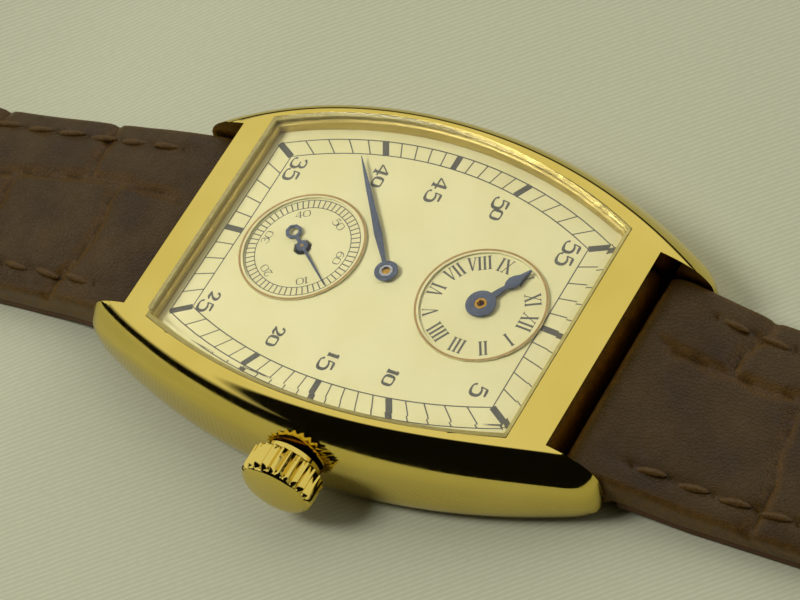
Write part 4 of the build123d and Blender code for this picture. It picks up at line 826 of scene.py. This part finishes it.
# Strap halves, drawn along +Y from the spring bar and turned round for 6 o'clock
strapSpec = {"barY": 18.52, "barZ": 2.45, "roll": 1.7, "width": 16.0, "tail": 14.0, "thin": 2.3, "padShare": 0.7,
             "landing": 7.0, "lining": 0.8, "edge": 1.75, "stitchInset": 1.75, "stitchPitch": 2.95,
             "endSquare": 3.8, "firstStitch": 2.6, "stitchStop": 8, "sideTaper": 45.0, "flare": 0.1, "flareLength": 4,
             "tipLength": 11, "tipHalf": 7.5, "edgeDrop": 0.15, "crowned": 3.4, "creaseDepth": 0.3,
             "creaseWidth": 0.36, "columns": 56, "holes": 7, "holePitch": 6.5, "lastHole": 26, "holeRadius": 0.8,
             "bore": 0.82, "slotHalf": 1.25, "slotReach": 3}
halves = {
    "12": {"length": 70.0, "tailStart": 38.0, "lift": 0.95, "column": -2.9, "turned": False,
           "rows": (11.3, 21.0, 30.8, 40.2, 49.5, 58.6, 67.0), "sideRows": (6.0, 15.6, 26.2, 35.0, 45.5, 54.0, 63.4)},
    "6": {"length": 108.0, "tailStart": 60.0, "lift": 0.0, "column": 2.1, "turned": True,
          "rows": (5.9, 15.2, 24.9, 34.1, 43.6, 53.4, 62.5, 72.0, 81.4, 90.5, 99.0),
          "sideRows": (9.6, 20.0, 29.5, 39.0, 48.8, 58.0, 67.7, 77.0, 86.0, 95.2)},
}


def halfWidth(out, half):
    spec = strapSpec
    share = min(1.0, max(0.0, out) / spec["sideTaper"])
    wide = (spec["width"] + (spec["tail"] - spec["width"]) * share) / 2
    wide += spec["flare"] * max(0.0, 1 - max(0.0, out) / spec["flareLength"])
    tipStart = half["length"] - spec["tipLength"]
    if half["turned"] and out > tipStart:
        tip = (out - tipStart) / spec["tipLength"]
        wide = min(wide, spec["tipHalf"] * math.sqrt(max(0.0, 1 - tip ** 2.2)))
    return max(wide, 0.05)


def thickness(out, half):
    padded = max(0.0, 1 - max(0.0, out) / (half["length"] * strapSpec["padShare"]))
    return strapSpec["thin"] + (2 * strapSpec["roll"] - strapSpec["thin"]) * padded


def strapFoot(out, half):
    spec = strapSpec
    fall = (spec["barZ"] - spec["roll"]) * max(0.0, 1 - max(0.0, out) / spec["landing"])
    rise = min(1.0, max(0.0, (out - half["tailStart"]) / spec["landing"]))
    return fall + half["lift"] * rise


def grooveDistance(x, out, half):
    # distance in mm to the nearest crease between scales
    column = half["column"] + 0.5 * math.sin(out / 3.7) + 0.35 * noise.noise((0, out * 0.4, half["length"]))
    column += 0.02 * (out - 10)
    rows = half["rows"] if (x > column) == (half["column"] < 0) else half["sideRows"]
    bend = 0.35 * math.sin(x * 0.55 + rows[0]) + 0.3 * noise.noise((x * 0.5, out * 0.05, 3.0))
    across = min(abs(out - row - bend - 0.25 * math.sin(row + x * 0.3)) for row in rows)
    return min(abs(x - column), across)


def endRound(out):
    # half height of the leather round the spring bar, nearly square at its corners
    spec = strapSpec
    share = min(1.0, abs(out) / spec["roll"])
    return spec["roll"] * (1 - share ** spec["endSquare"]) ** (1 / spec["endSquare"])


def strapTop(x, out, half):
    # height of the leather's face, and its wear there together with the painted highlight on the rolled end
    spec = strapSpec
    wide = halfWidth(out, half)
    share = min(1.0, abs(x) / wide)
    foot, deep = strapFoot(out, half), thickness(out, half)
    edge = mix(deep - spec["edgeDrop"], spec["edge"], min(1.0, max(0.0, out) / 30))
    top = foot + edge + (deep - edge) * (1 - share ** spec["crowned"])
    wearAndHighlight = 0.3 * max(0.0, (share - 0.94) / 0.06)
    if out < 0:
        top = spec["barZ"] + endRound(out) - spec["edgeDrop"] * share ** spec["crowned"]
        # the light band across the top of the rolled end is a painted highlight, not wear
        return top, max(wearAndHighlight, math.exp(-(((out + 1.38) / 0.3) ** 2)))
    crease = grooveDistance(x, out, half)
    fade = min(1.0, max(0.0, (out + 0.5) / 1.2))
    sharp = spec["creaseDepth"] * math.exp(-((crease / spec["creaseWidth"]) ** 2))
    top -= fade * (sharp + 0.2 * math.exp(-crease / 0.9))
    wearAndHighlight = max(wearAndHighlight, fade * 0.22 * math.exp(-(((crease - 0.34) / 0.24) ** 2)))
    top += 0.05 * noise.noise((x * 0.8, out * 0.8, half["length"])) * (1 - share ** 4)
    channel = abs(x) - (wide - spec["stitchInset"])
    top -= 0.12 * min(1.0, out / 2) * math.exp(-((channel / 0.4) ** 2))
    hole = (out - spec["firstStitch"]) / spec["stitchPitch"]
    near = (hole - round(hole)) * spec["stitchPitch"]
    if spec["firstStitch"] - 0.6 < out < half["length"] - spec["stitchStop"]:
        top -= 0.3 * math.exp(-((near / 0.2) ** 2) - ((channel / 0.2) ** 2))
    return top, wearAndHighlight


def finishStrap(obj, half, material):
    if half["turned"]:
        for vertex in obj.data.vertices:
            vertex.co.x, vertex.co.y = -vertex.co.x, -vertex.co.y
            vertex.co.z += clothSag(vertex.co.y / mm) * mm
    obj.data.materials.append(material)


def upperRing(out, half):
    spec = strapSpec
    y = spec["barY"] + out
    wide = halfWidth(out, half)
    drop = endRound(out)
    low = strapFoot(out, half) + spec["lining"] if out > 0 else spec["barZ"] - drop
    if 0 < out < spec["roll"]:
        low = min(low, spec["barZ"] - drop)
    steps, ring = spec["columns"], []
    for i in range(steps + 1):
        x = wide * math.sin(math.pi * (i / steps - 0.5)) * 0.35 + wide * (2 * i / steps - 1) * 0.65
        top, wornAndHighlit = strapTop(x, out, half)
        edge = max(0.0, abs(x) / wide - 0.955) / 0.045
        top -= 0.24 * (1 - math.sqrt(max(0.0, 1 - edge ** 2)))
        ring.append(((x, y, max(top, low + 0.02)), wornAndHighlit))
    side = ring[-1][0][2]
    for share in (0.3, 0.6, 0.85):
        ring.append(((wide + 0.02 * math.sin(share * 9), y, side + (low - side) * share), 0.45))
    for i in range(7):
        ring.append(((wide * (1 - 2 * i / 6) * 0.995, y, low), 0.2))
    for share in (0.85, 0.6, 0.3):
        ring.append(((-wide - 0.02 * math.sin(share * 9), y, side + (low - side) * share), 0.45))
    return ring


def liningRing(out, half):
    y, wide, low = strapSpec["barY"] + out, halfWidth(out, half) - 0.06, strapFoot(out, half)
    high, soft = low + strapSpec["lining"], 0.15
    points = [(-wide, low + soft), (-wide, high - soft), (-wide + soft, high), (0, high), (wide - soft, high),
              (wide, high - soft), (wide, low + soft), (wide - soft, low), (0, low), (-wide + soft, low)]
    return [((x, y, z), 0.3) for x, z in points]


def stationsFor(half, start, step):
    spec = strapSpec
    values = []
    if start < 0:
        values += [-spec["roll"] * math.cos(math.pi / 2 * i / 8) * 0.999 for i in range(8)]
        start = 0
    count = int((half["length"] - start) / step)
    values += [start + (half["length"] - start) * i / count for i in range(count + 1)]
    return values


def stitchRow(name, half):
    # one thread bead, copied from hole to hole along both edges
    spec = strapSpec
    beads = []
    for side in (-1, 1):
        out = spec["firstStitch"]
        while out + spec["stitchPitch"] < half["length"] - spec["stitchStop"]:
            middle = out + spec["stitchPitch"] / 2
            x = side * (halfWidth(middle, half) - spec["stitchInset"])
            z = strapTop(x, middle, half)[0] + 0.09
            beads.append((x, spec["barY"] + middle, z, side))
            out += spec["stitchPitch"]
    bpy.ops.mesh.primitive_uv_sphere_add(segments=10, ring_count=8, radius=1)
    bead = bpy.context.object
    for vertex in bead.data.vertices:
        x, y, z = vertex.co
        twist = 1 + 0.12 * math.sin(y * 9 + math.atan2(z, x) * 2)
        vertex.co = Vector((x * 0.27 * twist, y * 1.22, z * 0.22 * twist - 0.1 * y * y)) * mm
    copies = []
    for x, y, z, side in beads:
        copy = bead.copy()
        copy.data = bead.data.copy()
        bpy.context.scene.collection.objects.link(copy)
        slant = Matrix.Rotation(math.radians(7 * side), 4, "Z")
        copy.data.transform(Matrix.Translation(Vector((x, y, z)) * mm) @ slant)
        copies.append(copy)
    bpy.data.objects.remove(bead)
    deselectAll()
    for copy in copies:
        copy.select_set(True)
    bpy.context.view_layer.objects.active = copies[0]
    bpy.ops.object.join()
    row = bpy.context.object
    row.name = row.data.name = name
    bpy.ops.object.shade_smooth()
    finishStrap(row, half, linenThread)
    return row


def buildStrap(key):
    half, spec = halves[key], strapSpec
    body = "strap_" + key
    upper = sleeve("strapUpper" + key, stationsFor(half, -1, 0.3), lambda out: upperRing(out, half))
    lining = sleeve("strapLining" + key, stationsFor(half, 2.05, 1.0), lambda out: liningRing(out, half))
    if half["turned"]:
        lastHole = spec["barY"] + half["length"] - spec["lastHole"]
        places = [lastHole - spec["holePitch"] * i for i in range(spec["holes"])]
        for piece in (upper, lining):
            cutWith(piece, [roundCutter((0, y, 2), spec["holeRadius"], 12) for y in places])
    else:
        end, reach, side = spec["barY"] + half["length"], spec["slotReach"], spec["slotHalf"]
        cutWith(upper, [boxCutter((-side, end - reach, -1), (side, end + reach, 6))])
        cutWith(lining, [boxCutter((-9, end - reach, -1), (9, end + reach, 6))])
    cutWith(upper, [roundCutter((0, spec["barY"], spec["barZ"]), spec["bore"], 40, 20, True)])
    finishStrap(upper, half, alligator)
    finishStrap(lining, half, calfLining)
    threads = stitchRow("strapStitches" + key, half)
    for piece in (upper, lining, threads):
        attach(piece, body)
    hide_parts(body + "_upper")
    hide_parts(body + "_lining")
    print("strap half built:", key)


for key in halves:
    buildStrap(key)


# Leather loops round the strap: a flattened tube with a thick wall and soft edges
loopSpec = {
    "fixedLoop": {"node": "fixed_keeper", "body": "strap_12", "y": 81.02, "half": 7.12, "low": 0.95},
    "freeLoop": {"node": "free_keeper", "body": "free_keeper_group", "y": 74.52, "half": 7.49, "low": 0.9},
}
loopLeather = {"wall": 0.8, "pressed": 0.92, "width": 4.0, "gap": 0.4, "square": 9, "edge": 0.24}


def buildLoop(name, spec, leather):
    node, body, y, half, low = [spec[key] for key in ("node", "body", "y", "half", "low")]
    wall, width, power = leather["wall"], leather["width"], leather["square"]
    high = low + 2 * strapSpec["thin"] + leather["gap"]
    bpy.ops.mesh.primitive_cylinder_add(vertices=64, radius=1, depth=width * mm, end_fill_type="NOTHING")
    obj = bpy.context.object
    obj.name = obj.data.name = name
    for vertex in obj.data.vertices:
        angle = math.atan2(vertex.co.y, vertex.co.x)
        c, s = math.cos(angle), math.sin(angle)
        reach = (abs(c) ** power + abs(s) ** power) ** (-1 / power)
        along = math.copysign(width / 2, vertex.co.z)
        x = (half + wall / 2) * c * reach
        z = (low + high) / 2 + ((high - low) / 2 + wall / 2) * s * reach
        vertex.co = Vector((x, y + along, z)) * mm
    editAll(obj)
    faceOut()
    wallMod = obj.modifiers.new("wall", "SOLIDIFY")
    wallMod.thickness = wall * leather["pressed"] * mm
    wallMod.offset = 0
    bpy.ops.object.modifier_apply(modifier="wall")
    edge = obj.modifiers.new("edge", "BEVEL")
    edge.width = leather["edge"] * mm
    edge.segments = 3
    edge.limit_method = "ANGLE"
    edge.angle_limit = math.radians(50)
    bpy.ops.object.modifier_apply(modifier="edge")
    smoothUnder(60)
    layer = obj.data.attributes.new("wearAndHighlight", "FLOAT", "POINT")
    wornAndHighlit = [0.7 if abs(abs(v.co.y / mm - y) - width / 2) < 0.2 else 0.0 for v in obj.data.vertices]
    layer.data.foreach_set("value", wornAndHighlit)
    obj.data.materials.append(alligator)
    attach(obj, body)
    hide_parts(node)


for name, spec in loopSpec.items():
    buildLoop(name, spec, loopLeather)
print("loops built")


# The rest of the CAD pieces keep their meshes and take the finish of their record slot
slotFinish = {"polished_gold": polishedGold, "brushed_gold": brushedGold, "crystal": crystalGlass, "seal": sealNylon,
              "dial": creamDial, "hand": slateHands, "movement_plate": nickelPlate, "movement_brass": giltBrass,
              "movement_steel": polishedSteel, "jewel": ruby, "alligator": alligator, "lining": calfLining}
ownFinish = {"hour_dial_rim": creamDial, "seconds_dial_rim": creamDial, "crystal_gasket": clearSeal}
for part in frame["record"]["subparts"]:
    obj = nodes[part["node"]]
    finish = ownFinish.get(part["node"], slotFinish[part["material_slot"]])
    obj.data.materials.clear()
    obj.data.materials.append(finish)
print("carried pieces finished")
